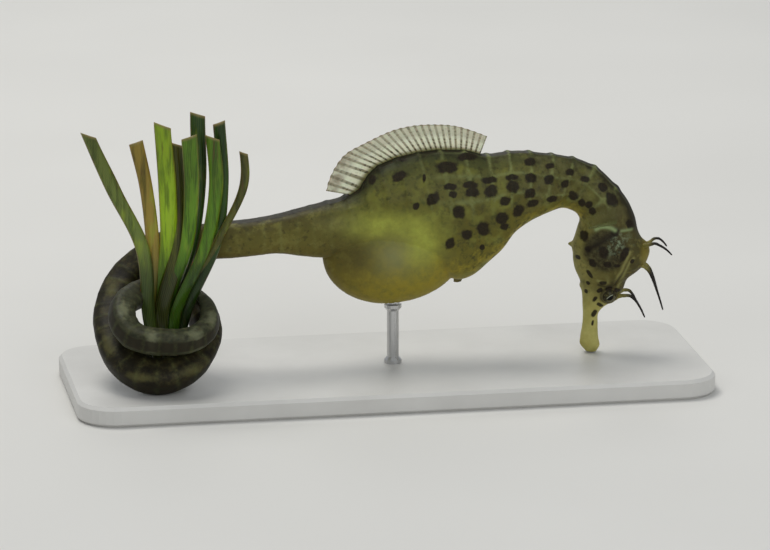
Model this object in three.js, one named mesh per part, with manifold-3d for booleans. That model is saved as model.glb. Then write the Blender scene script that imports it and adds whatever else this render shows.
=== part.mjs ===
// A big-belly seahorse at life size, in feeding pose: head hung down to the ground, trunk level, and
// the tail wound twice round a bunch of water-plant blades, on a flat display stand with one rod.
//
// Millimetres, +Z up, +X towards the head. The origin is the middle of the stand's underside, and the
// body's mirror plane is Y = 0 from the tail root to the neck. One loft, drawn by "stations", runs
// from the tip of the tail to the lips, and each named length of the body is a stretch of it.
import * as THREE from 'three';
import { mergeVertices } from 'three/addons/utils/BufferGeometryUtils.js';
import Module from 'manifold-3d';

// ---------------------------------------------------------------- driving dimensions

const GAP = 0.3; // between pieces that meet
const FIN_THICKNESS = 0.6;
const STAND_CLEARANCE = 0.02; // between the base and what stands on it

const BASE = { length: 160, width: 60, height: 5, corner: 9, chamfer: 0.8 };
const ROD = { x: 2, diameter: 3, flare: 4.4, flareHeight: 1.6, clearance: 0.35 };

// Body stations, from the tail root to the lips, in the mirror plane:
// [dorsal x, dorsal z, ventral x, ventral z, half width].
const TAIL_ROOT = [
  [-34, 43.3, -34, 34.4, 4.3],
  [-27.5, 44.2, -27.3, 34.8, 4.4],
  [-21.3, 45.6, -20.8, 33.8, 4.8],
  [-15, 47, -14.6, 33.2, 5.6],
];
const TRUNK = [
  [-10, 48.3, -9, 34, 6.4],
  [-6.4, 50.4, -5, 34.4, 7],
  [-4.2, 53.8, -1.5, 34.2, 7.6],
  [1.3, 57.2, 6.9, 32.6, 8.5],
  [6.3, 58.5, 11.4, 30.5, 8.9],
  [11.4, 59.2, 16.3, 26.6, 9],
  [16.4, 59.2, 19.6, 26.2, 8.9],
  [20.7, 58.8, 22.7, 27.6, 8.6],
  [25.3, 57.6, 25.7, 30.2, 8.2],
  [29.6, 57.9, 29, 33.1, 7.7],
  [34.2, 58.1, 32.3, 37.4, 7],
  [39.3, 57.4, 36.1, 40.1, 6.2],
];
const NECK = [
  [45.2, 56.4, 41.2, 42.2, 5.4],
  [50.3, 54.7, 45.3, 42.8, 5],
  [54.7, 52.2, 47.9, 41.9, 4.8],
  [58.6, 48.4, 49.3, 40.8, 4.8],
  [61.7, 44.7, 49.7, 39.5, 5],
];
const HEAD = [
  [63.5, 40.9, 49.2, 37.7, 5.4],
  [64.6, 36.6, 48.4, 34.9, 5.8],
  [66.1, 33.6, 47.8, 33, 5.9],
  [67.3, 31.6, 48.1, 31, 5.7],
  [66.6, 29, 48.2, 29.2, 5.3],
  [64.6, 26.7, 48.7, 26.8, 4.7],
  [62, 24.5, 49.7, 24.5, 4.1],
  [60.9, 21.8, 50.3, 22.3, 3.7],
  [59.3, 19.2, 50.6, 19.7, 3.1],
  [56.2, 17.1, 50.7, 17.3, 2.3],
];
const SNOUT = [
  [54.9, 15.6, 50.8, 15.6, 1.9],
  [54.6, 12.2, 50.7, 12.4, 1.7],
  [54.8, 8.7, 50.2, 8.9, 1.85],
  [55.1, 6.8, 50.2, 7.1, 1.9],
  [54.4, 5.5, 51.5, 5.5, 1.2],
];
const HEAD_TURN = { centreX: 56, degrees: -18, from: 40, to: 52 }; // the head looks a little to its right

// Tail: the winding round the plant, as [turn in degrees, reach from the plant's axis, height].
const PLANT = { x: -55.7, y: -6 };
const TAIL_WINDING = [
  [22, 17.3, 38.4],
  [32, 14.5, 37.9],
  [47, 12.7, 37.2],
  [85, 13, 34.4],
  [120, 15.5, 28],
  [150, 14.6, 21.3],
  [180, 13.5, 16.8],
  [215, 14, 12.3],
  [250, 14, 9.6],
  [285, 12, 11.2],
  [320, 10, 14.3],
  [360, 9.6, 17.6],
  [405, 10.2, 22.6],
  [440, 8.3, 25.2],
  [490, 6.6, 26.2],
  [530, 8, 26.3],
  [556, 11.5, 25.3],
  [575, 14.8, 22.8],
  [592, 16, 20],
  [615, 15, 18.8],
  [645, 14.4, 18.7],
  [670, 13, 20.2],
  [700, 10.5, 23.2],
  [745, 8.2, 26],
];
const TAIL_HALF_DEPTH = [
  [22, 4.5],
  [150, 4.35],
  [230, 4.25],
  [290, 3.9],
  [340, 3.7],
  [440, 3.35],
  [530, 3.15],
  [630, 3.05],
  [665, 2.7],
  [700, 2],
  [745, 0.8],
];
const TAIL_WIDTH_RATIO = 0.96;
const TAIL_STEP = 14; // degrees of turn between stations
const TAIL_LOOP_HEIGHT = 22; // the dorsal side faces away from the winding's middle, at this height
const TAIL_ROLL = { from: 5, to: 70 }; // and turns there from straight up over these turns

// Bony rings: pitch along the body's axis, and how far each ring's ridge stands out, as a share.
const TRUNK_RING = { pitch: 5.2, relief: 0.022 };
const TAIL_RING = { pitch: 4.2, lastPitch: 3.2, relief: 0.05 };

const POUCH = { x: 0.5, z: 33, rear: 16.2, front: 19, down: 12.5, up: 8, halfWidth: 8.8, clearance: 0.65 };

// Fins. The dorsal fin's outer margin runs from the rear tip to the front tip, as [x, z].
const DORSAL_FIN_MARGIN = [
  [-14.9, 50],
  [-14.4, 52.2],
  [-12.6, 55.9],
  [-10.1, 58.9],
  [-6.3, 61.2],
  [-1.3, 63.5],
  [3.8, 65.1],
  [8.8, 65.9],
  [13.9, 65.7],
  [18.9, 64.9],
  [24, 63.1],
  [25.8, 62.3],
];
const DORSAL_FIN_FOOT = { rearX: -8.6, frontX: 24, lift: 0.5, pitch: 1.7 };
// The pectoral fins fan back over the neck from just in front of the nape, one each side.
const PECTORAL_FIN = {
  ahead: 3, // of the nape
  angle: 92, // round the neck, from the top
  length: 4.3,
  halfWidth: 2.3, // at the root
  flare: 0.3, // half width gained for each millimetre of length
  roundness: 0.12, // share of its length that the fan's corners fall short by
  lift: 0.4, // of its margin off the skin
  neckRadius: 5.2,
  clearance: 0.45,
};
const ANAL_FIN = { x: 18.6, z: 25.7, length: 2.2, height: 0.7 };

// Head fittings, in the head's own frame: f forward of HEAD_TURN.centreX, l to its left, z height.
// A swelling lifts the head's sides round a middle, by its height, over its reach.
const SWELLINGS = {
  eyeTurret: { f: 1.4, z: 21, height: 1.05, reach: 2.7 },
  gillCover: { f: -2.6, z: 31.5, height: 0.75, reach: 4.6 },
  cheek: { f: 1.5, z: 26.5, height: 0.35, reach: 2.6 },
};
const EYE = { f: 1.4, z: 20.95, l: 2.75, radius: 2.1, socketWall: 0.3 };
const FILAMENTS = {
  coronet_filament: {
    right: [
      [9.4, -0.8, 33.2],
      [11.9, -2.8, 34.2],
      [13, -3.1, 34.6],
      [14.4, -3.2, 34.1],
      [16.1, -3.1, 33],
      [17.4, -3, 31.7],
    ],
    left: [
      [9.4, 0.8, 33.2],
      [11.4, 2.6, 33.6],
      [12.3, 3, 34.3],
      [13.4, 3.1, 34.4],
      [14.7, 3.1, 33.5],
      [15.6, 3, 32.4],
    ],
    pedestal: 2.6,
    root: 0.55,
  },
  brow_filament: {
    right: [
      [8.4, -1.2, 28.6],
      [10.2, -1.6, 28.2],
      [11.4, -1.7, 27.2],
      [12.4, -1.6, 25.3],
      [13.4, -1.5, 22.6],
      [14.4, -1.5, 19.6],
      [15.2, -1.6, 17],
    ],
    left: [
      [8.4, 1.2, 28.6],
      [10.1, 1.8, 28.1],
      [11.2, 2, 27.1],
      [12.1, 1.9, 25.3],
      [12.9, 1.9, 22.9],
      [13.7, 1.8, 20.2],
    ],
    pedestal: 2.2,
    root: 0.5,
  },
  nose_filament: {
    right: [
      [3, -1, 20],
      [5.3, -1.9, 20.5],
      [6.9, -2, 20.5],
      [8, -2, 19.7],
      [9.4, -2, 17.7],
      [10.7, -2, 15],
    ],
    left: [
      [3, 1, 20.4],
      [5.2, 1.9, 21],
      [6.2, 2, 20.9],
      [7.1, 2, 20],
      [8, 2.1, 18.4],
      [8.9, 2.1, 16.6],
    ],
    pedestal: 2.4,
    root: 0.45,
  },
};
const FILAMENT_TIP = 0.26; // radius
const PEDESTAL_FLARE = { foot: 2.4, top: 1.15 }; // radius of a filament's pedestal, as shares of its root

// Water-plant blades: sideways place at four heights, [at the winding, behind the tail, mid, top],
// from the plant's axis, with the depth at the top, width and cut height.
const BLADE_HEIGHTS = [21, 40, 54, 70];
const BLADE_THICKNESS = 1.08;
const BLADES = [
  { sideways: [-4.6, -6.4, -13, -19.6], depth: -2.5, width: 3.9, cut: 69 },
  { sideways: [-4.2, -3.4, -4.8, -8], depth: 0.5, width: 3.5, cut: 66 },
  { sideways: [-2.6, 0.5, 0.2, -1], depth: -3, width: 4.4, cut: 71 },
  { sideways: [-1.6, 3.2, 3.7, 3], depth: 1.5, width: 4, cut: 65 },
  { sideways: [-0.4, 5, 6, 5.2], depth: -4.5, width: 3.8, cut: 68 },
  { sideways: [0.4, 6.6, 8.5, 8.5], depth: 3, width: 3.8, cut: 72 },
  { sideways: [1.8, 9.8, 12.3, 11.2], depth: -1.5, width: 3.6, cut: 67 },
  { sideways: [4.6, 12.6, 14.3, 13.5], depth: 1, width: 3, cut: 70 },
  { sideways: [3.6, 12.8, 19, 18], depth: -4, width: 2.2, cut: 63 },
];
const BLADE_FOOT = { height: 8, spread: 0.55, row: 0.6, narrow: 0.7, fullWidth: 30 };
const BLADE_ROW = 1.2; // the blades stand in three rows at the winding, this far apart
const BLADE_PITCH = 7.5;
const CROWN = {
  radiusX: 5.2,
  radiusY: 3,
  offsetY: -0.2,
  heights: [BASE.height + STAND_CLEARANCE, 7, 9, 11, 14, 17],
  foot: 0.62, // share of its radius at the foot
  shoulder: 11, // where it is widest
  top: 0.4, // share of its radius at the top
};
const GRIP_CLEARANCE = 0.55; // between the winding and the plant

// Facets round each loft, the number of lengths of tail, and what is trimmed off its tip.
const SIDES = {
  body: 20,
  tail: 10,
  snout: 12,
  filament: 6,
  eye: 14,
  pouch: 22,
  fan: 14,
  blade: 6,
  crown: 14,
  rod: 14,
};
const TAIL_LENGTHS = 6;
const TAIL_TIP_CUT = 0.4;
const EYE_BANDS = 9;
const POUCH_BANDS = 13;
const HEAD_PITCH = 1.9;
const SNOUT_PITCH = 1.4;
const CUTTER_PITCH = 2.5; // rows of a body length that is only cut away from another solid

const COLOURS = {
  tail: 0x6b6a3a,
  trunk: 0x8f8a35,
  pouch: 0xa79a3c,
  head: 0x8d8a3c,
  snout: 0xa7a14f,
  fin: 0xcfcaa6,
  eye: 0x1a1712,
  filament: 0x1c1a14,
  blade: 0x5f8f22,
  base: 0xd9d7d0,
  rod: 0xb9bcc0,
};

// ---------------------------------------------------------------- curves and small helpers

const radians = THREE.MathUtils.degToRad;
const mix = THREE.MathUtils.lerp;
const smoothStep = THREE.MathUtils.smoothstep;

// A smooth curve through [position, value, value, ...] rows: returns position => values.
function curveThrough(rows) {
  const at = rows.map((row) => row[0]);
  const values = rows.map((row) => row.slice(1));
  const last = rows.length - 1;
  const step = at.slice(1).map((a, i) => a - at[i]);
  const rise = step.map((h, i) => values[i].map((v, k) => (values[i + 1][k] - v) / h));
  const slope = values.map((row, i) =>
    row.map((_, k) => {
      if (i === 0) return rise[0][k];
      if (i === last) return rise[last - 1][k];
      return (step[i] * rise[i - 1][k] + step[i - 1] * rise[i][k]) / (step[i] + step[i - 1]);
    }),
  );
  return (position) => {
    let i = 0;
    while (i < last - 1 && position > at[i + 1]) i += 1;
    const h = step[i];
    const t = THREE.MathUtils.clamp((position - at[i]) / h, 0, 1);
    const start = 2 * t ** 3 - 3 * t ** 2 + 1;
    const leave = (t ** 3 - 2 * t ** 2 + t) * h;
    const arrive = (t ** 3 - t ** 2) * h;
    return values[i].map(
      (v, k) => start * v + leave * slope[i][k] + (1 - start) * values[i + 1][k] + arrive * slope[i + 1][k],
    );
  };
}

function withPositionOnly(geometry) {
  geometry.deleteAttribute('normal');
  geometry.deleteAttribute('uv');
  return mergeVertices(geometry, 1e-4);
}

function toSolid(geometry) {
  const merged = withPositionOnly(geometry.clone());
  return new wasm.Manifold(
    new wasm.Mesh({
      numProp: 3,
      vertProperties: new Float32Array(merged.attributes.position.array),
      triVerts: new Uint32Array(merged.index.array),
    }),
  );
}

function toGeometry(solid) {
  const mesh = solid.getMesh();
  const geometry = new THREE.BufferGeometry();
  geometry.setAttribute('position', new THREE.BufferAttribute(mesh.vertProperties, 3));
  geometry.setIndex(new THREE.BufferAttribute(mesh.triVerts, 1));
  geometry.computeVertexNormals();
  return geometry;
}

// The largest of the bodies that a cut leaves.
function largestBody(solid) {
  return solid.decompose().reduce((best, body) => (body.volume() > best.volume() ? body : best));
}

// A closed loft: a cylinder's vertices moved to place(row, angle, share), where row runs along
// `rows`, angle is 0 on top and grows to the right, and share is 0 on the axis and 1 on the surface.
function loft(rows, sides, place) {
  const geometry = new THREE.CylinderGeometry(1, 1, 1, sides, rows.length - 1);
  const position = geometry.attributes.position;
  for (let i = 0; i < position.count; i += 1) {
    const row = Math.round((position.getY(i) + 0.5) * (rows.length - 1));
    const share = Math.hypot(position.getX(i), position.getZ(i));
    const angle = Math.atan2(position.getX(i), position.getZ(i));
    const point = place(rows[row], angle, share);
    position.setXYZ(i, point.x, point.y, point.z);
  }
  return withPositionOnly(geometry);
}

const wasm = await Module();
wasm.setup();

// ---------------------------------------------------------------- the body's stations

function headYaw(x) {
  return radians(HEAD_TURN.degrees) * smoothStep(x, HEAD_TURN.from, HEAD_TURN.to);
}

// A point of the head's own frame: f forward, l to its left, z height.
function headPoint([f, l, z]) {
  const yaw = radians(HEAD_TURN.degrees);
  return new THREE.Vector3(
    HEAD_TURN.centreX + f * Math.cos(yaw) - l * Math.sin(yaw),
    f * Math.sin(yaw) + l * Math.cos(yaw),
    z,
  );
}

// A body station turns as a whole about the head's upright axis, further the nearer it is to the head.
function bodyStation([dorsalX, dorsalZ, ventralX, ventralZ, halfWidth]) {
  const middle = (dorsalX + ventralX) / 2;
  const yaw = headYaw(middle);
  const pivot = mix(middle, HEAD_TURN.centreX, smoothStep(middle, HEAD_TURN.from, HEAD_TURN.to));
  const turned = (x, z) =>
    new THREE.Vector3(pivot + (x - pivot) * Math.cos(yaw), (x - pivot) * Math.sin(yaw), z);
  const dorsal = turned(dorsalX, dorsalZ);
  const ventral = turned(ventralX, ventralZ);
  return {
    centre: dorsal.clone().add(ventral).multiplyScalar(0.5),
    up: dorsal.clone().sub(ventral).multiplyScalar(0.5),
    right: new THREE.Vector3(Math.sin(yaw), -Math.cos(yaw), 0).multiplyScalar(halfWidth),
  };
}

function headFrame(point) {
  const yaw = radians(HEAD_TURN.degrees);
  const x = point.x - HEAD_TURN.centreX;
  return [x * Math.cos(yaw) + point.y * Math.sin(yaw), -x * Math.sin(yaw) + point.y * Math.cos(yaw), point.z];
}

function swollen(point) {
  const [f, l, z] = headFrame(point);
  const lift = Object.values(SWELLINGS).reduce((sum, swelling) => {
    const away = Math.hypot(f - swelling.f, z - swelling.z) / swelling.reach;
    return sum + swelling.height * Math.exp(-away * away);
  }, 0);
  return headPoint([f, l + lift * THREE.MathUtils.clamp(l / 1.5, -1, 1), z]);
}

function tailStations() {
  const winding = curveThrough(TAIL_WINDING);
  const halfDepth = curveThrough(TAIL_HALF_DEPTH);
  const point = (turn) => {
    const [reach, height] = winding(turn);
    return new THREE.Vector3(
      PLANT.x + reach * Math.cos(radians(turn)),
      PLANT.y + reach * Math.sin(radians(turn)),
      height,
    );
  };
  const first = TAIL_WINDING[0][0];
  const last = TAIL_WINDING.at(-1)[0];
  const count = Math.round((last - first) / TAIL_STEP);
  const turns = Array.from({ length: count + 1 }, (_, i) => mix(last, first, i / count));
  // The winding leads on into the tail root, so its last section faces along both.
  const path = [...turns.map(point), bodyStation(TAIL_ROOT[0]).centre];
  return turns.map((turn, i) => {
    const forward = path[i + 1].clone().sub(path[Math.max(i - 1, 0)]).normalize();
    const outward = path[i].clone().sub(new THREE.Vector3(PLANT.x, PLANT.y, TAIL_LOOP_HEIGHT)).normalize();
    const roll = smoothStep(turn, TAIL_ROLL.from, TAIL_ROLL.to);
    const up = new THREE.Vector3(0, 0, 1).multiplyScalar(1 - roll).addScaledVector(outward, roll);
    up.addScaledVector(forward, -up.dot(forward)).normalize();
    const half = halfDepth(turn)[0];
    return {
      centre: path[i],
      up: up.clone().multiplyScalar(half),
      right: forward.clone().cross(up).multiplyScalar(half * TAIL_WIDTH_RATIO),
    };
  });
}

const tail = tailStations();
const body = [...TAIL_ROOT, ...TRUNK, ...NECK, ...HEAD, ...SNOUT].map(bodyStation);
const stations = [...tail, ...body];

// Distance along the axis from the tail's tip, at each station.
const distance = stations.map(() => 0);
stations.slice(1).forEach((station, i) => {
  distance[i + 1] = distance[i] + station.centre.distanceTo(stations[i].centre);
});
const sectionAt = curveThrough(
  stations.map(({ centre, up, right }, i) => [
    distance[i],
    ...centre.toArray(),
    ...up.toArray(),
    ...right.toArray(),
  ]),
);
const bodyDistance = (index) => distance[tail.length + index];

const MARK = {
  tip: 0,
  tailRoot: bodyDistance(TAIL_ROOT.length - 1),
  belly: bodyDistance(TAIL_ROOT.length + 6),
  neck: bodyDistance(TAIL_ROOT.length + TRUNK.length - 1),
  nape: bodyDistance(TAIL_ROOT.length + TRUNK.length + NECK.length - 1),
  snout: bodyDistance(TAIL_ROOT.length + TRUNK.length + NECK.length + HEAD.length - 1),
  lips: distance.at(-1),
};

// ---------------------------------------------------------------- rings and section shape

// Ring ridges, as distances along the axis: even in the trunk, closing up towards the tail's tip.
function ringRidges() {
  const ridges = [];
  for (let at = MARK.nape - TRUNK_RING.pitch / 2; at > MARK.tailRoot; at -= TRUNK_RING.pitch) {
    ridges.push(at);
  }
  let at = ridges.at(-1);
  while (at > TAIL_RING.lastPitch) {
    at -= mix(TAIL_RING.lastPitch, TAIL_RING.pitch, Math.min(1, at / MARK.tailRoot));
    ridges.push(at);
  }
  return ridges.filter((ridge) => ridge > 1).reverse();
}
const RIDGES = ringRidges();

// 1 on a ring's ridge, -1 halfway between two of them.
function ringWave(at) {
  const next = RIDGES.findIndex((ridge) => ridge > at);
  if (next < 1) return 0;
  const share = (at - RIDGES[next - 1]) / (RIDGES[next] - RIDGES[next - 1]);
  return Math.abs(share - 0.5) * 4 - 1;
}

function ringRelief(at) {
  const tailShare = 1 - smoothStep(at, MARK.tailRoot - 12, MARK.tailRoot + 8);
  const fade = 1 - smoothStep(at, MARK.nape - 6, MARK.nape);
  return 1 + mix(TRUNK_RING.relief, TAIL_RING.relief, tailShare) * ringWave(at) * fade;
}

const power = (value, exponent) => Math.sign(value) * Math.abs(value) ** exponent;

// The body's surface: a rounded square along the tail, an egg shape, narrow on top, along the trunk.
function bodyPoint(at, angle, share = 1, grow = 0) {
  const [cx, cy, cz, ux, uy, uz, rx, ry, rz] = sectionAt(at);
  const up = new THREE.Vector3(ux, uy, uz);
  const right = new THREE.Vector3(rx, ry, rz);
  const tailShare = 1 - smoothStep(at, MARK.tailRoot - 10, MARK.tailRoot + 15);
  const trunkShare = smoothStep(at, MARK.tailRoot, MARK.belly) * (1 - smoothStep(at, MARK.neck, MARK.nape));
  const squareness = mix(0.92, 0.66, tailShare);
  const lowSlung = 1 - 0.22 * trunkShare * Math.cos(angle);
  const relief = ringRelief(at);
  const upward = power(Math.cos(angle), squareness) * relief * share;
  const sideways = power(Math.sin(angle), squareness) * lowSlung * relief * share;
  const point = new THREE.Vector3(cx, cy, cz)
    .addScaledVector(up, upward * (1 + grow / up.length()))
    .addScaledVector(right, sideways * (1 + grow / right.length()));
  return at > MARK.nape - 4 ? swollen(point) : point;
}

// The loft's rows from one distance to another: on each ring's ridge and halfway between two.
function ringRows(from, to, extra = []) {
  const between = RIDGES.slice(1).map((ridge, i) => (ridge + RIDGES[i]) / 2);
  const inside = [...RIDGES, ...between, ...extra].filter((at) => at > from + 0.7 && at < to - 0.7);
  return [from, ...inside.sort((a, b) => a - b), to];
}

function evenRows(from, to, pitch) {
  const count = Math.ceil((to - from) / pitch);
  return Array.from({ length: count + 1 }, (_, i) => mix(from, to, i / count));
}

function bodyLength(from, to, sides, rows = ringRows(from + GAP / 2, to - GAP / 2)) {
  return loft(rows, sides, (at, angle, share) => bodyPoint(at, angle, share));
}

// ---------------------------------------------------------------- fittings of the body

function tube(points, radiusAt, steps, sides = SIDES.filament) {
  const path = new THREE.CatmullRomCurve3(points);
  const frames = path.computeFrenetFrames(steps, false);
  const rows = Array.from({ length: steps + 1 }, (_, i) => i);
  return loft(rows, sides, (row, angle, share) => {
    const t = row / steps;
    const radius = radiusAt(t) * share;
    const across = frames.normals[row].clone().multiplyScalar(radius * Math.cos(angle));
    const over = frames.binormals[row].clone().multiplyScalar(radius * Math.sin(angle));
    return path.getPointAt(t).add(across).add(over);
  });
}

// A filament stands on a fleshy pedestal that belongs to the head: the curve's first stretch.
function filamentParts({ pedestal, root }, points) {
  const path = new THREE.CatmullRomCurve3(points.map(headPoint));
  const length = path.getLength();
  const stretch = (from, to, count) =>
    Array.from({ length: count + 1 }, (_, i) => path.getPointAt(mix(from, to, i / count) / length));
  return {
    pedestal: tube(stretch(0, pedestal, 3), (t) => root * mix(PEDESTAL_FLARE.foot, PEDESTAL_FLARE.top, t), 3),
    filament: tube(stretch(pedestal + GAP, length, 8), (t) => mix(root, FILAMENT_TIP, t), 8),
  };
}

// side is -1 on the right and 1 on the left.
function eyeGeometry(side, radius) {
  const centre = headPoint([EYE.f, EYE.l * side, EYE.z]);
  return new THREE.SphereGeometry(radius, SIDES.eye, EYE_BANDS).translate(centre.x, centre.y, centre.z);
}

function dorsalFin() {
  const foot = evenRows(MARK.tailRoot, MARK.neck, DORSAL_FIN_FOOT.pitch)
    .map((at) => {
      const point = bodyPoint(at, 0);
      const run = bodyPoint(at + 0.1, 0).sub(bodyPoint(at - 0.1, 0)).normalize();
      return new THREE.Vector2(point.x, point.z).add(
        new THREE.Vector2(-run.z, run.x).multiplyScalar(DORSAL_FIN_FOOT.lift),
      );
    })
    .filter(({ x }) => x > DORSAL_FIN_FOOT.rearX && x < DORSAL_FIN_FOOT.frontX);
  const margin = new THREE.SplineCurve(DORSAL_FIN_MARGIN.map(([x, z]) => new THREE.Vector2(x, z)));
  const shape = new THREE.Shape([...foot, ...margin.getPoints(30).reverse()]);
  const plate = new THREE.ExtrudeGeometry(shape, { depth: FIN_THICKNESS, bevelEnabled: false, steps: 1 });
  return plate.translate(0, 0, -FIN_THICKNESS / 2).rotateX(Math.PI / 2);
}

// side is 1 on the right and -1 on the left.
function pectoralFin(side) {
  const { ahead, length, halfWidth, flare, roundness, lift, neckRadius, clearance } = PECTORAL_FIN;
  const middle = radians(PECTORAL_FIN.angle);
  return loft(evenRows(0, 1, 1 / 5), SIDES.fan, (row, angle, share) => {
    const reach = row * length;
    const across = -side * Math.sin(angle) * share;
    const through = Math.cos(angle) * share;
    const at = MARK.nape + ahead - reach * (1 - roundness * across * across);
    const around = side * (middle + (across * (halfWidth + flare * reach)) / neckRadius);
    const height = clearance + FIN_THICKNESS / 2 + lift * row;
    return bodyPoint(at, around, 1, height + (through * FIN_THICKNESS) / 2);
  });
}

// A small fin that hangs in the notch between the trunk and the pouch.
function analFin() {
  const { x, z, length, height } = ANAL_FIN;
  const shape = new THREE.Shape();
  shape.moveTo(x - length / 2, z);
  shape.lineTo(x + length / 2, z);
  shape.quadraticCurveTo(x + length * 0.45, z - height, x - length * 0.1, z - height);
  shape.quadraticCurveTo(x - length * 0.4, z - height, x - length / 2, z);
  const plate = new THREE.ExtrudeGeometry(shape, {
    depth: FIN_THICKNESS,
    bevelEnabled: false,
    curveSegments: 5,
  });
  return plate.translate(0, 0, -FIN_THICKNESS / 2).rotateX(Math.PI / 2);
}

// ---------------------------------------------------------------- the plant and the stand

function blade({ sideways, depth, width, cut }, index) {
  const row = (index % 3) - 1;
  const rows = BLADE_HEIGHTS.map((height, i) => [
    height,
    PLANT.x + sideways[i],
    PLANT.y + CROWN.offsetY + mix(BLADE_ROW * row, depth, i / (BLADE_HEIGHTS.length - 1)),
  ]);
  const foot = [
    BLADE_FOOT.height,
    PLANT.x + sideways[0] * BLADE_FOOT.spread,
    PLANT.y + CROWN.offsetY + row * BLADE_FOOT.row,
  ];
  const path = curveThrough([foot, ...rows]);
  return loft(evenRows(BLADE_FOOT.height, cut, BLADE_PITCH), SIDES.blade, (height, angle, share) => {
    const [x, y] = path(height);
    const narrow = mix(BLADE_FOOT.narrow, 1, smoothStep(height, BLADE_FOOT.height, BLADE_FOOT.fullWidth));
    return new THREE.Vector3(
      x + Math.sin(angle) * share * (width / 2) * narrow,
      y - Math.cos(angle) * share * (BLADE_THICKNESS / 2),
      height,
    );
  });
}

function plant() {
  const crown = loft(CROWN.heights, SIDES.crown, (height, angle, share) => {
    const rising = mix(CROWN.foot, 1, smoothStep(height, BASE.height, CROWN.shoulder));
    const narrow = rising * mix(1, CROWN.top, smoothStep(height, CROWN.shoulder, CROWN.heights.at(-1)));
    return new THREE.Vector3(
      PLANT.x + Math.sin(angle) * share * CROWN.radiusX * narrow,
      PLANT.y + CROWN.offsetY - Math.cos(angle) * share * CROWN.radiusY * narrow,
      height,
    );
  });
  const joined = BLADES.map((sizes, i) => toSolid(blade(sizes, i))).reduce(
    (whole, piece) => whole.add(piece),
    toSolid(crown),
  );
  const rows = evenRows(TAIL_TIP_CUT, bodyDistance(0), CUTTER_PITCH);
  const winding = loft(rows, SIDES.crown, (at, angle, share) =>
    bodyPoint(at, angle, share, GRIP_CLEARANCE),
  );
  return largestBody(joined.subtract(toSolid(winding)));
}

function standBase() {
  const { length, width, height, corner, chamfer } = BASE;
  const halfLength = length / 2 - chamfer;
  const halfWidth = width / 2 - chamfer;
  const outline = new THREE.Shape();
  outline.moveTo(-halfLength + corner, -halfWidth);
  outline.lineTo(halfLength - corner, -halfWidth);
  outline.absarc(halfLength - corner, -halfWidth + corner, corner, -Math.PI / 2, 0);
  outline.absarc(halfLength - corner, halfWidth - corner, corner, 0, Math.PI / 2);
  outline.absarc(-halfLength + corner, halfWidth - corner, corner, Math.PI / 2, Math.PI);
  outline.absarc(-halfLength + corner, -halfWidth + corner, corner, Math.PI, Math.PI * 1.5);
  return new THREE.ExtrudeGeometry(outline, {
    depth: height - 2 * chamfer,
    bevelThickness: chamfer,
    bevelSize: chamfer,
    bevelSegments: 1,
    curveSegments: 4,
  }).translate(0, 0, chamfer);
}

function standRod() {
  const top = POUCH.z - POUCH.down - ROD.clearance;
  const foot = BASE.height + STAND_CLEARANCE;
  const profile = [
    [0, foot],
    [ROD.flare / 2, foot],
    [ROD.flare / 2, foot + ROD.flareHeight / 2],
    [ROD.diameter / 2, foot + ROD.flareHeight],
    [ROD.diameter / 2, top - ROD.flareHeight],
    [ROD.flare / 2, top - ROD.flareHeight / 2],
    [ROD.flare / 2, top],
    [0, top],
  ].map(([radius, z]) => new THREE.Vector2(radius, z));
  return new THREE.LatheGeometry(profile, SIDES.rod).rotateX(Math.PI / 2).translate(ROD.x, 0, 0);
}

// ---------------------------------------------------------------- the whole model

const model = new THREE.Group();
model.name = 'seahorse';

function addPart(name, geometry, colour, roughness = 0.55, metalness = 0) {
  const material = new THREE.MeshStandardMaterial({ color: colour, roughness, metalness });
  const mesh = new THREE.Mesh(geometry, material);
  mesh.name = name;
  model.add(mesh);
}

function addTail() {
  const ends = evenRows(MARK.tip, MARK.tailRoot, MARK.tailRoot / TAIL_LENGTHS + 0.01);
  ends.slice(1).forEach((to, i) => {
    const from = Math.max(ends[i], TAIL_TIP_CUT);
    addPart(`tail_${TAIL_LENGTHS - i}`, bodyLength(from, to, SIDES.tail), COLOURS.tail);
  });
}

function addTrunk() {
  addPart('trunk_rear', bodyLength(MARK.tailRoot, MARK.belly, SIDES.body), COLOURS.trunk);
  addPart('trunk_front', bodyLength(MARK.belly, MARK.neck, SIDES.body), COLOURS.trunk);
  addPart('neck', bodyLength(MARK.neck, MARK.nape, SIDES.body), COLOURS.trunk);
}

function addPouch() {
  const whole = new THREE.SphereGeometry(1, SIDES.pouch, POUCH_BANDS);
  const position = whole.attributes.position;
  for (let i = 0; i < position.count; i += 1) {
    const [x, y, z] = [position.getX(i), position.getY(i), position.getZ(i)];
    position.setXYZ(
      i,
      POUCH.x + x * (x > 0 ? POUCH.front : POUCH.rear),
      -z * POUCH.halfWidth,
      POUCH.z + y * (y > 0 ? POUCH.up : POUCH.down),
    );
  }
  const rows = evenRows(bodyDistance(0), MARK.neck, CUTTER_PITCH);
  const trunk = loft(rows, SIDES.body, (at, angle, share) => bodyPoint(at, angle, share, POUCH.clearance));
  addPart('pouch', toGeometry(largestBody(toSolid(whole).subtract(toSolid(trunk)))), COLOURS.pouch, 0.4);
}

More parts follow.
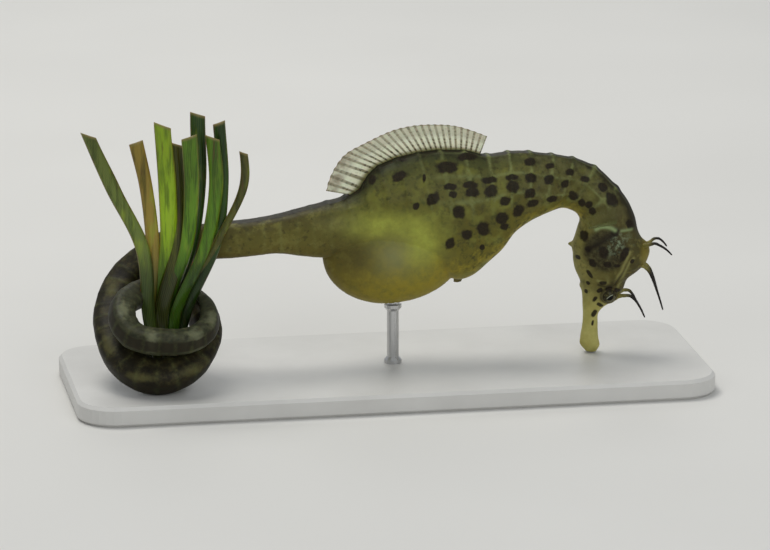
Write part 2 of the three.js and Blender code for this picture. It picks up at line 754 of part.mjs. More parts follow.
function addHead() {
  const headRows = evenRows(MARK.nape + GAP / 2, MARK.snout - GAP / 2, HEAD_PITCH);
  let head = toSolid(bodyLength(0, 0, SIDES.body, headRows));
  for (const [name, sizes] of Object.entries(FILAMENTS)) {
    for (const word of ['right', 'left']) {
      const { pedestal, filament } = filamentParts(sizes, sizes[word]);
      head = head.add(toSolid(pedestal));
      addPart(`${name}_${word}`, filament, COLOURS.filament);
    }
  }
  for (const [side, word] of [[-1, 'right'], [1, 'left']]) {
    head = head.subtract(toSolid(eyeGeometry(side, EYE.radius + EYE.socketWall)));
    addPart(`eye_${word}`, eyeGeometry(side, EYE.radius), COLOURS.eye, 0.1);
  }
  addPart('head', toGeometry(largestBody(head)), COLOURS.head);
  const snoutRows = evenRows(MARK.snout + GAP / 2, MARK.lips, SNOUT_PITCH);
  addPart('snout', bodyLength(0, 0, SIDES.snout, snoutRows), COLOURS.snout);
}

function addFins() {
  addPart('dorsal_fin', dorsalFin(), COLOURS.fin, 0.4);
  addPart('anal_fin', analFin(), COLOURS.fin, 0.4);
  addPart('pectoral_fin_right', pectoralFin(1), COLOURS.fin, 0.4);
  addPart('pectoral_fin_left', pectoralFin(-1), COLOURS.fin, 0.4);
}

addTail();
addTrunk();
addPouch();
addHead();
addFins();
addPart('perch_plant', toGeometry(plant()), COLOURS.blade, 0.45);
addPart('stand_base', standBase(), COLOURS.base, 0.5);
addPart('stand_rod', standRod(), COLOURS.rod, 0.3, 1);

export default model;
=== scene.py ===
"""A big-belly seahorse at life size, feeding, its tail wound round cut water-plant blades, on a stand.

The skin is one closed grid from the tip of the tail to the lips, and the fins, eyes, filaments and
plant blades are pieces of their own. Sizes are millimetres until mesh_piece() writes them in metres.
"""

import math

import bpy
import numpy as np
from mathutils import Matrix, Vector


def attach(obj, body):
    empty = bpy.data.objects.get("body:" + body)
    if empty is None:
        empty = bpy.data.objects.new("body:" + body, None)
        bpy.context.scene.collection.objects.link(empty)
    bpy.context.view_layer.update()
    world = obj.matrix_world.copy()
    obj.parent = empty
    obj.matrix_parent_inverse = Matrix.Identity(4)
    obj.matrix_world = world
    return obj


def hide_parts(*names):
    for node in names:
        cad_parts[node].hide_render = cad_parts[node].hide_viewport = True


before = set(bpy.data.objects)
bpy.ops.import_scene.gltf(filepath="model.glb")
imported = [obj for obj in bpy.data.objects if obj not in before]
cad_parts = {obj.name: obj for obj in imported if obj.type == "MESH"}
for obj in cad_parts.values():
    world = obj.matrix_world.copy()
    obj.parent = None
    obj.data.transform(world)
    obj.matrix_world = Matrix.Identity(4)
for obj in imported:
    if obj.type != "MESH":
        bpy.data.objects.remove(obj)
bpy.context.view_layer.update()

# ---------------------------------------------------------------- driving dimensions

MM = 0.001
SEED = 7

# Body stations, from the tail root to the lips, in the mirror plane:
# dorsal x, dorsal z, ventral x, ventral z, half width.
TAIL_ROOT = [
    (-34, 43.3, -34, 34.4, 4.3),
    (-27.5, 44.2, -27.3, 34.8, 4.4),
    (-21.3, 45.6, -20.8, 33.8, 4.8),
    (-15, 47, -14.6, 33.2, 5.6),
]
TRUNK = [
    (-10, 48.3, -9, 34, 6.4),
    (-6.4, 50.4, -5, 34.4, 7),
    (-4.2, 53.8, -1.5, 34.2, 7.6),
    (1.3, 57.2, 6.9, 32.6, 8.5),
    (6.3, 58.5, 11.4, 30.5, 8.9),
    (11.4, 59.2, 16.3, 26.6, 9),
    (16.4, 59.2, 19.6, 26.2, 8.9),
    (20.7, 58.8, 22.7, 27.6, 8.6),
    (25.3, 57.6, 25.7, 30.2, 8.2),
    (29.6, 57.9, 29, 33.1, 7.7),
    (34.2, 58.1, 32.3, 37.4, 7),
    (39.3, 57.4, 36.1, 40.1, 6.2),
]
NECK = [
    (45.2, 56.4, 41.2, 42.2, 5.4),
    (50.3, 54.7, 45.3, 42.8, 5),
    (54.7, 52.2, 47.9, 41.9, 4.8),
    (58.6, 48.4, 49.3, 40.8, 4.8),
    (61.7, 44.7, 49.7, 39.5, 5),
]
HEAD = [
    (63.5, 40.9, 49.2, 37.7, 5.4),
    (64.6, 36.6, 48.4, 34.9, 5.8),
    (66.1, 33.6, 47.8, 33, 5.9),
    (67.3, 31.6, 48.1, 31, 5.7),
    (66.6, 29, 48.2, 29.2, 5.3),
    (64.6, 26.7, 48.7, 26.8, 4.7),
    (62, 24.5, 49.7, 24.5, 4.1),
    (60.9, 21.8, 50.3, 22.3, 3.7),
    (59.3, 19.2, 50.6, 19.7, 3.1),
    (56.2, 17.1, 50.7, 17.3, 2.3),
]
SNOUT = [
    (54.9, 15.6, 50.8, 15.6, 1.9),
    (54.6, 12.2, 50.7, 12.4, 1.7),
    (54.8, 8.7, 50.2, 8.9, 1.85),
    (55.1, 6.8, 50.2, 7.1, 1.9),
    (54.4, 5.5, 51.5, 5.5, 1.2),
]
HEAD_CENTRE = 56
HEAD_YAW = math.radians(-18)
HEAD_TURN_X = (40, 52)

# The tail's winding round the plant: turn in degrees, reach from the plant's axis, height.
PLANT_X, PLANT_Y = -55.7, -6
TAIL_WINDING = [
    (22, 17.3, 38.4),
    (32, 14.5, 37.9),
    (47, 12.7, 37.2),
    (85, 13, 34.4),
    (120, 15.5, 28),
    (150, 14.6, 21.3),
    (180, 13.5, 16.8),
    (215, 14, 12.3),
    (250, 14, 9.6),
    (285, 12, 11.2),
    (320, 10, 14.3),
    (360, 9.6, 17.6),
    (405, 10.2, 22.6),
    (440, 8.3, 25.2),
    (490, 6.6, 26.2),
    (530, 8, 26.3),
    (556, 11.5, 25.3),
    (575, 14.8, 22.8),
    (592, 16, 20),
    (615, 15, 18.8),
    (645, 14.4, 18.7),
    (670, 13, 20.2),
    (700, 10.5, 23.2),
    (745, 8.2, 26),
]
TAIL_HALF_DEPTH = [
    (22, 4.5),
    (150, 4.35),
    (230, 4.25),
    (290, 3.9),
    (340, 3.7),
    (440, 3.35),
    (530, 3.15),
    (630, 3.05),
    (665, 2.7),
    (700, 2),
    (745, 0.8),
]
TAIL_WIDTH_RATIO = 0.96
TAIL_STEP = 14
TAIL_LOOP_HEIGHT = 22
TAIL_ROLL = (5, 70)

TRUNK_RING_PITCH = 5.2
TAIL_RING_PITCH = (3.2, 4.2)  # at the tip, at the root
POUCH = {"x": 0.5, "z": 33, "rear": 16.2, "front": 19, "down": 12.5, "up": 8, "half_width": 8.8}

DORSAL_FIN_MARGIN = [
    (-14.9, 50),
    (-14.4, 52.2),
    (-12.6, 55.9),
    (-10.1, 58.9),
    (-6.3, 61.2),
    (-1.3, 63.5),
    (3.8, 65.1),
    (8.8, 65.9),
    (13.9, 65.7),
    (18.9, 64.9),
    (24, 63.1),
    (25.8, 62.3),
]
DORSAL_FIN_FOOT_X = (-8.6, 24)
DORSAL_FIN_RAYS = 27
PECTORAL_FIN = {
    "ahead": 3, "angle": 92, "length": 4.3, "half_width": 2.3, "flare": 0.3, "roundness": 0.12, "neck_radius": 5.2,
    "rays": 15,
}
ANAL_FIN = {"x": 18.6, "z": 25.7, "length": 2.2, "height": 0.7}

# Head fittings: f forward of HEAD_CENTRE, l to the head's left, z height.
SWELLINGS = [(1.4, 21, 1.05, 2.7), (-2.6, 31.5, 0.75, 4.6), (1.5, 26.5, 0.35, 2.6)]  # f, z, height, reach
EYE_CENTRE = (1.4, 2.75, 20.95)
EYE_RADIUS = 2.1
# Lines on the head's sides: f, z.
GILL_EDGE = [(7, 32.6), (6.5, 31.3), (5.5, 29.2), (4.8, 27.4), (3.7, 25.8), (2.4, 24.7), (0.8, 24.1), (-1.1, 24.8)]
GILL_GROOVE = [(7, 29.4), (6.2, 28), (5.2, 26.4), (4, 24.7), (2.9, 23.7), (1, 23.2), (-1, 23.6)]
GILL_TOP = [(-3.6, 33), (-2.1, 34.1), (0.1, 35.2), (2.3, 36.8), (3.5, 38.1)]
BROW_RIDGE = [(7.9, 31), (7, 30), (5.8, 27.3), (4.5, 24.5), (3.8, 22.9)]
FIN_FOOT = [(-1.6, 38.3), (-0.6, 38.9), (0.8, 39.1), (2.2, 38.8), (3.2, 38.2)]
NAPE_STRIP = [(4.8, 38), (7.1, 38.1)]
GILL_COVER = {"f": 0.8, "z": 32.9, "half_length": 6.2, "half_height": 6.1}
# Low spines and dents of the head: f, z, l, height, reach.
HEAD_SPINES = [
    (10.3, 33.4, 0, 0.9, 1.6),
    (8.6, 29.2, 0, 0.5, 1.2),
    (4.2, 22.6, 2.2, 0.3, 0.8),
    (-8.1, 33, 0, 0.95, 0.5),
    (-5.9, 24, 0, -0.35, 0.7),
    (-6, 22.3, 0, 0.45, 0.9),
    (0.6, 30.6, 5, 0.25, 1.1),
    (-3.4, 36.4, 5, 0.35, 1.2),
]
FILAMENTS = {
    "coronet_filament_right": [(9.4, -0.8, 33.2), (11.9, -2.8, 34.2), (13, -3.1, 34.6), (14.4, -3.2, 34.1),
                               (16.1, -3.1, 33), (17.4, -3, 31.7)],
    "coronet_filament_left": [(9.4, 0.8, 33.2), (11.4, 2.6, 33.6), (12.3, 3, 34.3), (13.4, 3.1, 34.4),
                              (14.7, 3.1, 33.5), (15.6, 3, 32.4)],
    "brow_filament_right": [(8.4, -1.2, 28.6), (10.2, -1.6, 28.2), (11.4, -1.7, 27.2), (12.4, -1.6, 25.3),
                            (13.4, -1.5, 22.6), (14.4, -1.5, 19.6), (15.2, -1.6, 17)],
    "brow_filament_left": [(8.4, 1.2, 28.6), (10.1, 1.8, 28.1), (11.2, 2, 27.1), (12.1, 1.9, 25.3),
                           (12.9, 1.9, 22.9), (13.7, 1.8, 20.2)],
    "nose_filament_right": [(3, -1, 20), (5.3, -1.9, 20.5), (6.9, -2, 20.5), (8, -2, 19.7), (9.4, -2, 17.7),
                            (10.7, -2, 15)],
    "nose_filament_left": [(3, 1, 20.4), (5.2, 1.9, 21), (6.2, 2, 20.9), (7.1, 2, 20), (8, 2.1, 18.4),
                           (8.9, 2.1, 16.6)],
}
FILAMENT_ROOT = {"coronet": 0.5, "brow": 0.46, "nose": 0.5}

# Plant blades: sideways place at four heights, depth at the top, width, cut height and tint.
BLADE_HEIGHTS = (21, 40, 54, 70)
BLADE_FOOT = 8
BLADES = [
    ((-4.6, -6.4, -13, -19.6), -2.5, 3.9, 69, "olive"),
    ((-4.2, -3.4, -4.8, -8), 0.5, 3.5, 66, "tan"),
    ((-2.6, 0.5, 0.2, -1), -3, 4.4, 71, "bright"),
    ((-1.6, 3.2, 3.7, 3), 1.5, 4, 65, "brown"),
    ((-0.4, 5, 6, 5.2), -4.5, 3.8, 68, "green"),
    ((0.4, 6.6, 8.5, 8.5), 3, 3.8, 72, "dark"),
    ((1.8, 9.8, 12.3, 11.2), -1.5, 3.6, 67, "green"),
    ((4.6, 12.6, 14.3, 13.5), 1, 3, 70, "dark"),
    ((3.6, 12.8, 19, 18), -4, 2.2, 63, "brown"),
]

# The camera, and the frame of 770 by 550 pixels that the places of the spots are given in.
VIEW_AZIMUTH, VIEW_ELEVATION = math.radians(-10), math.radians(14.5)
VIEW_DISTANCE = 1200
VIEW_TARGET = np.array([0, 0, 27.7])
VIEW_MM_PER_PIXEL = 0.25
FRAME_WIDTH, FRAME_HEIGHT = 770, 550
SENSOR = 36

# Dark spots of the right side, in the view's pixels: x, y, width, height, slant in degrees.
SPOTS = [
    (402, 158, 8, 6, 0), (447, 167, 18, 12, 0), (468, 156, 16, 9, 0), (399, 176, 16, 9, 18), (372, 180, 7, 10, -20),
    (424, 178, 4, 8, 0), (450, 187, 11, 7, 0), (453, 195, 7, 7, 0), (470, 184, 14, 7, 0), (472, 192, 12, 11, 0),
    (490, 180, 16, 7, 0), (491, 191, 14, 13, 0), (512, 177, 13, 6, 0), (513, 186, 13, 13, 0), (530, 162, 11, 9, 0),
    (531, 178, 11, 10, 0), (530, 193, 12, 10, 15), (549, 180, 10, 11, 0), (433, 199, 13, 12, 0), (416, 206, 7, 7, 0),
    (459, 212, 13, 14, 0), (505, 201, 11, 9, 0), (502, 218, 13, 12, 0), (504, 227, 9, 7, 0), (518, 211, 13, 12, 0),
    (533, 203, 13, 7, 20), (552, 199, 13, 6, 12), (483, 228, 13, 14, 0), (467, 235, 11, 10, 0), (450, 244, 11, 10, 10),
    (482, 247, 6, 6, 0), (565, 184, 9, 9, 0), (573, 196, 12, 9, -30), (582, 203, 10, 7, -40), (589, 205, 8, 8, -30),
    (592, 211, 9, 7, -30), (612, 200, 11, 12, 0), (620, 190, 8, 8, 0), (630, 225, 8, 8, 20), (550, 166, 9, 6, 0),
    (570, 172, 10, 7, -10), (585, 179, 9, 7, -20), (603, 187, 8, 8, -30),
]
HEAD_SPOTS = [
    (615, 232, 8, 8, 0), (584.5, 236, 10, 11, 0), (588, 249, 7, 6, 0), (603.5, 253, 10, 13, 0), (624.5, 254.5, 7, 16, -24),
    (578, 257, 6, 5, 0), (592.5, 263, 7, 9, 22), (608, 265, 8, 7, 0), (632, 261, 4, 6, -20), (617.5, 266, 6, 4, 0),
    (589.8, 274.5, 4, 11, 32), (603, 283, 8, 4, 0), (588, 283, 4, 4.5, 30), (586, 291, 4, 5, 0),
    (599.6, 290.4, 7, 4, 35), (608.8, 289, 6.5, 5, 5), (617.1, 290, 6.5, 3.6, -30), (595, 299, 7.5, 4, 52),
    (600, 304.8, 7, 4.4, -38), (594.2, 313.2, 9.5, 4.8, 58), (619.4, 297.3, 3.2, 2.6, 0), (592.6, 323, 6, 2.6, 80),
]
# Paler patches and rings of the tail; the two tallest bands, across the strand in front, are painted highlights.
TAIL_PATCHES_AND_HIGHLIGHTS = [
    (112, 288, 16, 26, 0), (108, 343, 14, 26, 0), (140, 378, 28, 10, 0), (192, 371, 22, 14, 0),
    (124, 309, 13, 22, 0), (152, 341, 13, 34, 0), (197, 340, 18, 34, 0), (212, 318, 14, 20, 0),
]
# Broad colour on the trunk's sides: x, z, reach along x, reach along z.
# Painted highlight: yellow green light on the trunk's side and the pouch's front.
HIGHLIGHT_PLACES = [(-3, 42.4, 9, 3.4), (8.2, 37.5, 4.2, 6)]
# Painted shade on the pouch's rear and on the side of the tail's root.
SHADE = [(-9.5, 34.5, 5.5, 5), (-14.8, 37.4, 4.5, 3.4)]
# Paler patches: the first, on the pouch's middle, is a painted reflection; the second is a paler patch on the flank's
# rear.
PALE_AND_REFLECTION_PLACES = [(0.8, 34.5, 5.5, 4.5), (-14, 42.5, 6, 2)]
CREST_SPREAD = (0.36, 0.66)  # of the dark line along the back, in radians: on the trunk, on the neck
SADDLE = {"from": -10, "to": 26, "spread": 0.6}  # dark band along the dorsal fin's foot

# ---------------------------------------------------------------- curves and small helpers


def smooth_step(value, low, high):
    t = np.clip((np.asarray(value, float) - low) / (high - low), 0, 1)
    return t * t * (3 - 2 * t)


def mix(a, b, share):
    return a + (b - a) * share


def unit(vectors):
    return vectors / np.maximum(np.linalg.norm(vectors, axis=-1, keepdims=True), 1e-9)


def curve_through(rows):
    """A smooth curve through (position, value, value, ...) rows: positions => an array of values."""
    table = np.array(rows, float)
    at, values = table[:, 0], table[:, 1:]
    step = np.diff(at)[:, None]
    rise = np.diff(values, axis=0) / step
    slope = np.empty_like(values)
    slope[0], slope[-1] = rise[0], rise[-1]
    slope[1:-1] = (step[1:] * rise[:-1] + step[:-1] * rise[1:]) / (step[1:] + step[:-1])

    def curve(position):
        position = np.atleast_1d(np.asarray(position, float))
        i = np.clip(np.searchsorted(at, position, side="right") - 1, 0, len(at) - 2)
        h = step[i]
        t = np.clip((position - at[i])[:, None] / h, 0, 1)
        start = 2 * t**3 - 3 * t**2 + 1
        leave = (t**3 - 2 * t**2 + t) * h
        arrive = (t**3 - t**2) * h
        return start * values[i] + leave * slope[i] + (1 - start) * values[i + 1] + arrive * slope[i + 1]

    return curve


def head_to_model(points):
    """Points of the head's own frame (f, l, z) in the model's frame."""
    f, l, z = np.moveaxis(np.asarray(points, float), -1, 0)
    c, s = math.cos(HEAD_YAW), math.sin(HEAD_YAW)
    return np.stack([HEAD_CENTRE + f * c - l * s, f * s + l * c, z], axis=-1)


def model_to_head(points):
    x, y, z = np.moveaxis(np.asarray(points, float), -1, 0)
    c, s = math.cos(HEAD_YAW), math.sin(HEAD_YAW)
    x = x - HEAD_CENTRE
    return np.stack([x * c + y * s, -x * s + y * c, z], axis=-1)


# ---------------------------------------------------------------- the view

VIEW_RIGHT = np.array([math.cos(VIEW_AZIMUTH), math.sin(VIEW_AZIMUTH), 0])
VIEW_BACK = np.array([
    math.sin(VIEW_AZIMUTH) * math.cos(VIEW_ELEVATION),
    -math.cos(VIEW_AZIMUTH) * math.cos(VIEW_ELEVATION),
    math.sin(VIEW_ELEVATION),
])
VIEW_UP = np.cross(VIEW_BACK, VIEW_RIGHT)
VIEW_PLACE = VIEW_TARGET + VIEW_BACK * VIEW_DISTANCE


def in_view(points):
    """Where points lie in the view, as pixels x and y, and how far away they are."""
    away = points - VIEW_PLACE
    depth = -away @ VIEW_BACK
    scale = VIEW_DISTANCE / depth / VIEW_MM_PER_PIXEL
    x = FRAME_WIDTH / 2 + away @ VIEW_RIGHT * scale
    y = FRAME_HEIGHT / 2 - away @ VIEW_UP * scale
    return np.stack([x, y], axis=-1), depth


# ---------------------------------------------------------------- the body's stations


def body_station(row):
    dorsal_x, dorsal_z, ventral_x, ventral_z, half_width = row
    middle = (dorsal_x + ventral_x) / 2
    turn = float(smooth_step(middle, *HEAD_TURN_X))
    yaw = HEAD_YAW * turn
    pivot = mix(middle, HEAD_CENTRE, turn)

    def turned(x, z):
        return np.array([pivot + (x - pivot) * math.cos(yaw), (x - pivot) * math.sin(yaw), z])

    dorsal, ventral = turned(dorsal_x, dorsal_z), turned(ventral_x, ventral_z)
    right = np.array([math.sin(yaw), -math.cos(yaw), 0]) * half_width
    return np.concatenate([(dorsal + ventral) / 2, (dorsal - ventral) / 2, right])


def tail_stations():
    winding, half_depth = curve_through(TAIL_WINDING), curve_through(TAIL_HALF_DEPTH)
    first, last = TAIL_WINDING[0][0], TAIL_WINDING[-1][0]
    count = round((last - first) / TAIL_STEP)
    turns = np.linspace(last, first, count + 1)
    reach, height = winding(turns).T
    angle = np.radians(turns)
    place = np.stack([PLANT_X + reach * np.cos(angle), PLANT_Y + reach * np.sin(angle), height], axis=1)
    path = np.vstack([place, body_station(TAIL_ROOT[0])[:3]])
    before = np.vstack([path[:1], path[:-2]])
    forward = unit(path[1:] - before)
    outward = unit(place - np.array([PLANT_X, PLANT_Y, TAIL_LOOP_HEIGHT]))
    roll = smooth_step(turns, *TAIL_ROLL)[:, None]
    up = np.array([0, 0, 1]) * (1 - roll) + outward * roll
    up = unit(up - forward * np.sum(up * forward, axis=1, keepdims=True))
    half = half_depth(turns)
    return np.hstack([place, up * half, np.cross(forward, up) * half * TAIL_WIDTH_RATIO])


TAIL = tail_stations()
BODY = np.array([body_station(row) for row in TAIL_ROOT + TRUNK + NECK + HEAD + SNOUT])
STATIONS = np.vstack([TAIL, BODY])
DISTANCE = np.concatenate([[0], np.cumsum(np.linalg.norm(np.diff(STATIONS[:, :3], axis=0), axis=1))])
section_at = curve_through(np.hstack([DISTANCE[:, None], STATIONS]))


def body_distance(index):
    return DISTANCE[len(TAIL) + index]


AT_TAIL_ROOT = body_distance(len(TAIL_ROOT) - 1)
AT_BELLY = body_distance(len(TAIL_ROOT) + 6)
AT_NECK = body_distance(len(TAIL_ROOT + TRUNK) - 1)
AT_NAPE = body_distance(len(TAIL_ROOT + TRUNK + NECK) - 1)
AT_SNOUT = body_distance(len(TAIL_ROOT + TRUNK + NECK + HEAD) - 1)
AT_LIPS = DISTANCE[-1]


def ring_ridges():
    ridges = list(np.arange(AT_NAPE - TRUNK_RING_PITCH / 2, AT_TAIL_ROOT, -TRUNK_RING_PITCH))
    at = ridges[-1]
    while at > TAIL_RING_PITCH[0]:
        at -= mix(*TAIL_RING_PITCH, min(1, at / AT_TAIL_ROOT))
        ridges.append(at)
    return np.array([ridge for ridge in ridges if ridge > 1][::-1])


RIDGES = ring_ridges()


def ring_gap(at):
    """How far along the body the nearest ring's ridge is."""
    return np.abs(np.asarray(at)[:, None] - RIDGES).min(axis=1)


def power(value, exponent):
    return np.sign(value) * np.abs(value) ** exponent


def tail_share(at):
    return 1 - smooth_step(at, AT_TAIL_ROOT - 10, AT_TAIL_ROOT + 15)


def swollen(points):
    head = model_to_head(points)
    lift = 0
    for f, z, height, reach in SWELLINGS:
        away = np.hypot(head[..., 0] - f, head[..., 2] - z) / reach
        lift = lift + height * np.exp(-away * away)
    head[..., 1] += lift * np.clip(head[..., 1] / 1.5, -1, 1)
    return head_to_model(head)


def body_surface(at, angle, grow=0.0):
    """Points of the body's plain surface, without rings: at along the body, angle 0 on top and 90 to the right."""
    values = section_at(at)
    centre, up, right = values[:, :3], values[:, 3:6], values[:, 6:9]
    trunk = smooth_step(at, AT_TAIL_ROOT, AT_BELLY) * (1 - smooth_step(at, AT_NECK, AT_NAPE))
    square = mix(0.92, 0.66, tail_share(at))
    low_slung = 1 - 0.22 * trunk * np.cos(angle)
    upward = power(np.cos(angle), square) * (1 + grow / np.linalg.norm(up, axis=1))
    sideways = power(np.sin(angle), square) * low_slung * (1 + grow / np.linalg.norm(right, axis=1))
    points = centre + up * upward[:, None] + right * sideways[:, None]
    head = (at > AT_NAPE - 4)[:, None]
    return np.where(head, swollen(points), points)


# ---------------------------------------------------------------- meshes


def mesh_piece(name, points, faces, replaced=(), slot=None, **masks):
    """A smooth mesh object from points in millimetres, with each mask kept as a value at every point."""
    mesh = bpy.data.meshes.new(name)
    mesh.from_pydata((np.asarray(points) * MM).tolist(), [], faces)
    mesh.polygons.foreach_set("use_smooth", [True] * len(mesh.polygons))
    for key, values in masks.items():
        attribute = mesh.attributes.new(key, "FLOAT", "POINT")
        attribute.data.foreach_set("value", np.asarray(values, np.float32).ravel())
    mesh.update()
    piece = bpy.data.objects.new(name, mesh)
    bpy.context.scene.collection.objects.link(piece)
    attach(piece, "root")
    if replaced:
        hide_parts(*replaced)
    return piece


def tube_faces(rows, sides, offset=0):
    """Faces of a closed tube of rows by sides points, with a point more at each end."""
    index = offset + np.arange(rows * sides).reshape(rows, sides)
    here, there = index[:-1], index[1:]
    quads = np.stack([here, np.roll(here, -1, 1), np.roll(there, -1, 1), there], axis=-1).reshape(-1, 4)
    first, last = offset + rows * sides, offset + rows * sides + 1
    start = [(int(b), int(a), first) for a, b in zip(index[0], np.roll(index[0], -1))]
    end = [(int(a), int(b), last) for a, b in zip(index[-1], np.roll(index[-1], -1))]
    return quads.tolist() + start + end


def closed_tube(grid):
    """Points and faces of a rows by sides grid, closed by a point in the middle of each end."""
    rows, sides = grid.shape[:2]
    points = np.vstack([grid.reshape(-1, 3), grid[0].mean(0), grid[-1].mean(0)])
    return points, tube_faces(rows, sides)


def with_ends(values, rows, sides):
    """A grid of values with its two end points' values, in the order of closed_tube()."""
    grid = np.broadcast_to(values, (rows, sides))
    return np.concatenate([grid.ravel(), [grid[0].mean(), grid[-1].mean()]])


def grid_normals(grid):
    around = np.roll(grid, -1, 1) - np.roll(grid, 1, 1)
    along = np.gradient(grid, axis=0)
    return unit(np.cross(around, along))


# ---------------------------------------------------------------- the skin

SKIN_SIDES = 288
SKIN_PITCH = {"tail": 0.25, "trunk": 0.2, "head": 0.11}
RING_RELIEF = {"back": 0.15, "flank": 0.025, "tail": 0.045}
RING_WIDTH = {"trunk": 0.75, "tail": 0.6, "line": 0.42}
# Lengthwise ridges of one side of the trunk: degrees from the top at the belly, and how far they shift by the neck.
TRUNK_RIDGES = [(15, 0, 0.5), (50, 21, 1), (75, 27, 1), (110, 15, 0), (145, 5, 0)]
RIDGE_SHIFT = (238, 257)
LINE_FADE = (212, 232)  # the rear of the trunk has no pale lines
TAIL_LINE = 0.2  # strength of the tail's pale rings
CORNER_ANGLES = np.radians([45, 135])  # lengthwise ridges of the tail
POUCH_BLEND = {"edge": 0.5, "flank": 3.4}
POUCH_TONE = (1.0, 1.5)  # where the pouch's colour ends, in sizes of the pouch
COIL_TONE = (140, 178)  # along the tail: the winding's darker colour ends
TIP_TONE = (44, 66)  # and the last turn's greyer colour


def skin_rows():
    tail = np.arange(0.4, AT_TAIL_ROOT, SKIN_PITCH["tail"])
    trunk = np.arange(AT_TAIL_ROOT, AT_NAPE, SKIN_PITCH["trunk"])
    head = np.arange(AT_NAPE, AT_LIPS, SKIN_PITCH["head"])
    return np.concatenate([tail, trunk, head, [AT_LIPS]])


def pouch_reach(centres, directions):
    """How far from each centre, along its direction, the pouch's surface lies, or 0 where it doesn't."""
    reach = np.zeros(centres.shape[:-1])
    for step in np.linspace(0.2, 30, 300):
        point = centres + directions * step
        x, y, z = point[..., 0] - POUCH["x"], point[..., 1], point[..., 2] - POUCH["z"]
        length = np.where(x > 0, POUCH["front"], POUCH["rear"])
        depth = np.where(z > 0, POUCH["up"], POUCH["down"])
        inside = (x / length) ** 2 + (y / POUCH["half_width"]) ** 2 + (z / depth) ** 2 < 1
        reach = np.where(inside, step, reach)
    return reach


def smooth_max(a, b, blend):
    share = np.clip(0.5 + (a - b) / (2 * blend), 0, 1)
    return mix(b, a, share) + blend * share * (1 - share)


def add_pouch(grid, at, angle):
    """Lifts the belly to the pouch. Returns the new grid and how much of each point is pouch."""
    centre = section_at(at)[:, None, :3]
    away = grid - centre
    plain = np.linalg.norm(away, axis=-1)
    near = (at > AT_TAIL_ROOT - 14) & (at < AT_NECK)
    reach = np.zeros_like(plain)
    wide = np.broadcast_to(centre, grid.shape)
    reach[near] = pouch_reach(wide[near], unit(away)[near])
    belly = 0.5 - 0.5 * np.cos(angle)
    blend = mix(POUCH_BLEND["flank"], POUCH_BLEND["edge"], smooth_step(belly, 0.75, 1))[None, :]
    blend = blend * smooth_step(reach, 0, 3) + 1e-3
    lifted = np.where(reach > 0, smooth_max(plain, reach, blend), plain)
    share = smooth_step(reach - plain, -0.6, 1.2)
    return centre + unit(away) * lifted[..., None], share


def pouch_tone(grid):
    """How much of each point's colour is the pouch's."""
    x, y, z = np.moveaxis(grid, -1, 0)
    length = np.where(x > POUCH["x"], POUCH["front"], POUCH["rear"])
    depth = np.where(z > POUCH["z"], POUCH["up"], POUCH["down"])
    size = np.sqrt(
        ((x - POUCH["x"]) / length) ** 2 + (y / POUCH["half_width"]) ** 2 + ((z - POUCH["z"]) / depth) ** 2
    )
    return 1 - smooth_step(size, *POUCH_TONE)


def cloud(grid, places):
    """Soft patches round places given as x, z, reach along x, reach along z."""
    total = sum(
        np.exp(-(((grid[..., 0] - x) / wide) ** 2) - ((grid[..., 2] - z) / high) ** 2) for x, z, wide, high in places
    )
    return np.clip(total, 0, 1)


def window(value, low, high, soft):
    """1 between low and high, falling softly to 0 outside."""
    return smooth_step(value, low - soft, low + soft) * (1 - smooth_step(value, high - soft, high + soft))


def bump(value, middle, width):
    return np.exp(-(((value - middle) / width) ** 2))


def ring_lift(at, angle, pouch):
    """Height of the bony rings, the lengthwise ridges and the knobs where they cross, and the pale lines on them."""
    gap = ring_gap(at)[:, None]
    side = np.abs((angle + math.pi) % (2 * math.pi) - math.pi)[None, :]
    tail = tail_share(at)[:, None]
    shift = smooth_step(at, *RIDGE_SHIFT)[:, None]
    ring = bump(gap, 0, RING_WIDTH["trunk"])
    lines = np.zeros(np.broadcast_shapes(gap.shape, side.shape))
    ridge = np.zeros_like(lines)
    for start, turn, strength in TRUNK_RIDGES:
        away = side - np.radians(start + turn * shift)
        ridge = ridge + bump(away, 0, 0.1)
        lines = lines + strength * (0.85 * bump(away, 0, 0.045) + 0.9 * bump(away, 0, 0.09) * bump(gap, 0, 0.55))
    low = np.radians(TRUNK_RIDGES[2][0] + TRUNK_RIDGES[2][1] * shift)
    back = 1 - smooth_step(side - low, 0, 0.35)
    lines = lines + bump(gap, 0, RING_WIDTH["line"]) * back
    fade = (1 - smooth_step(at, AT_NAPE - 3, AT_NAPE + 2))[:, None] * smooth_step(at, 0, 12)[:, None]
    relief = mix(RING_RELIEF["flank"], RING_RELIEF["back"], back)
    on_trunk = relief * (ring + 0.8 * ridge + 1.3 * ring * ridge)
    corner = sum(bump(side, a, 0.24) for a in CORNER_ANGLES)
    on_tail = RING_RELIEF["tail"] * (bump(gap, 0, RING_WIDTH["tail"]) * (0.9 + 0.8 * corner) - 0.35)
    shown = smooth_step(at, *LINE_FADE)[:, None] * np.clip(lines, 0, 1)
    shown = mix(shown, TAIL_LINE * bump(gap, 0, RING_WIDTH["line"]), tail)
    return mix(on_trunk, on_tail, tail) * fade * (1 - 0.95 * pouch), shown * fade * (1 - pouch)


def distance_to_path(f, z, path):
    best = np.full(f.shape, 1e9)
    for (af, az), (bf, bz) in zip(path[:-1], path[1:]):
        length = (bf - af) ** 2 + (bz - az) ** 2
        t = np.clip(((f - af) * (bf - af) + (z - az) * (bz - az)) / length, 0, 1)
        best = np.minimum(best, np.hypot(f - af - t * (bf - af), z - az - t * (bz - az)))
    return best


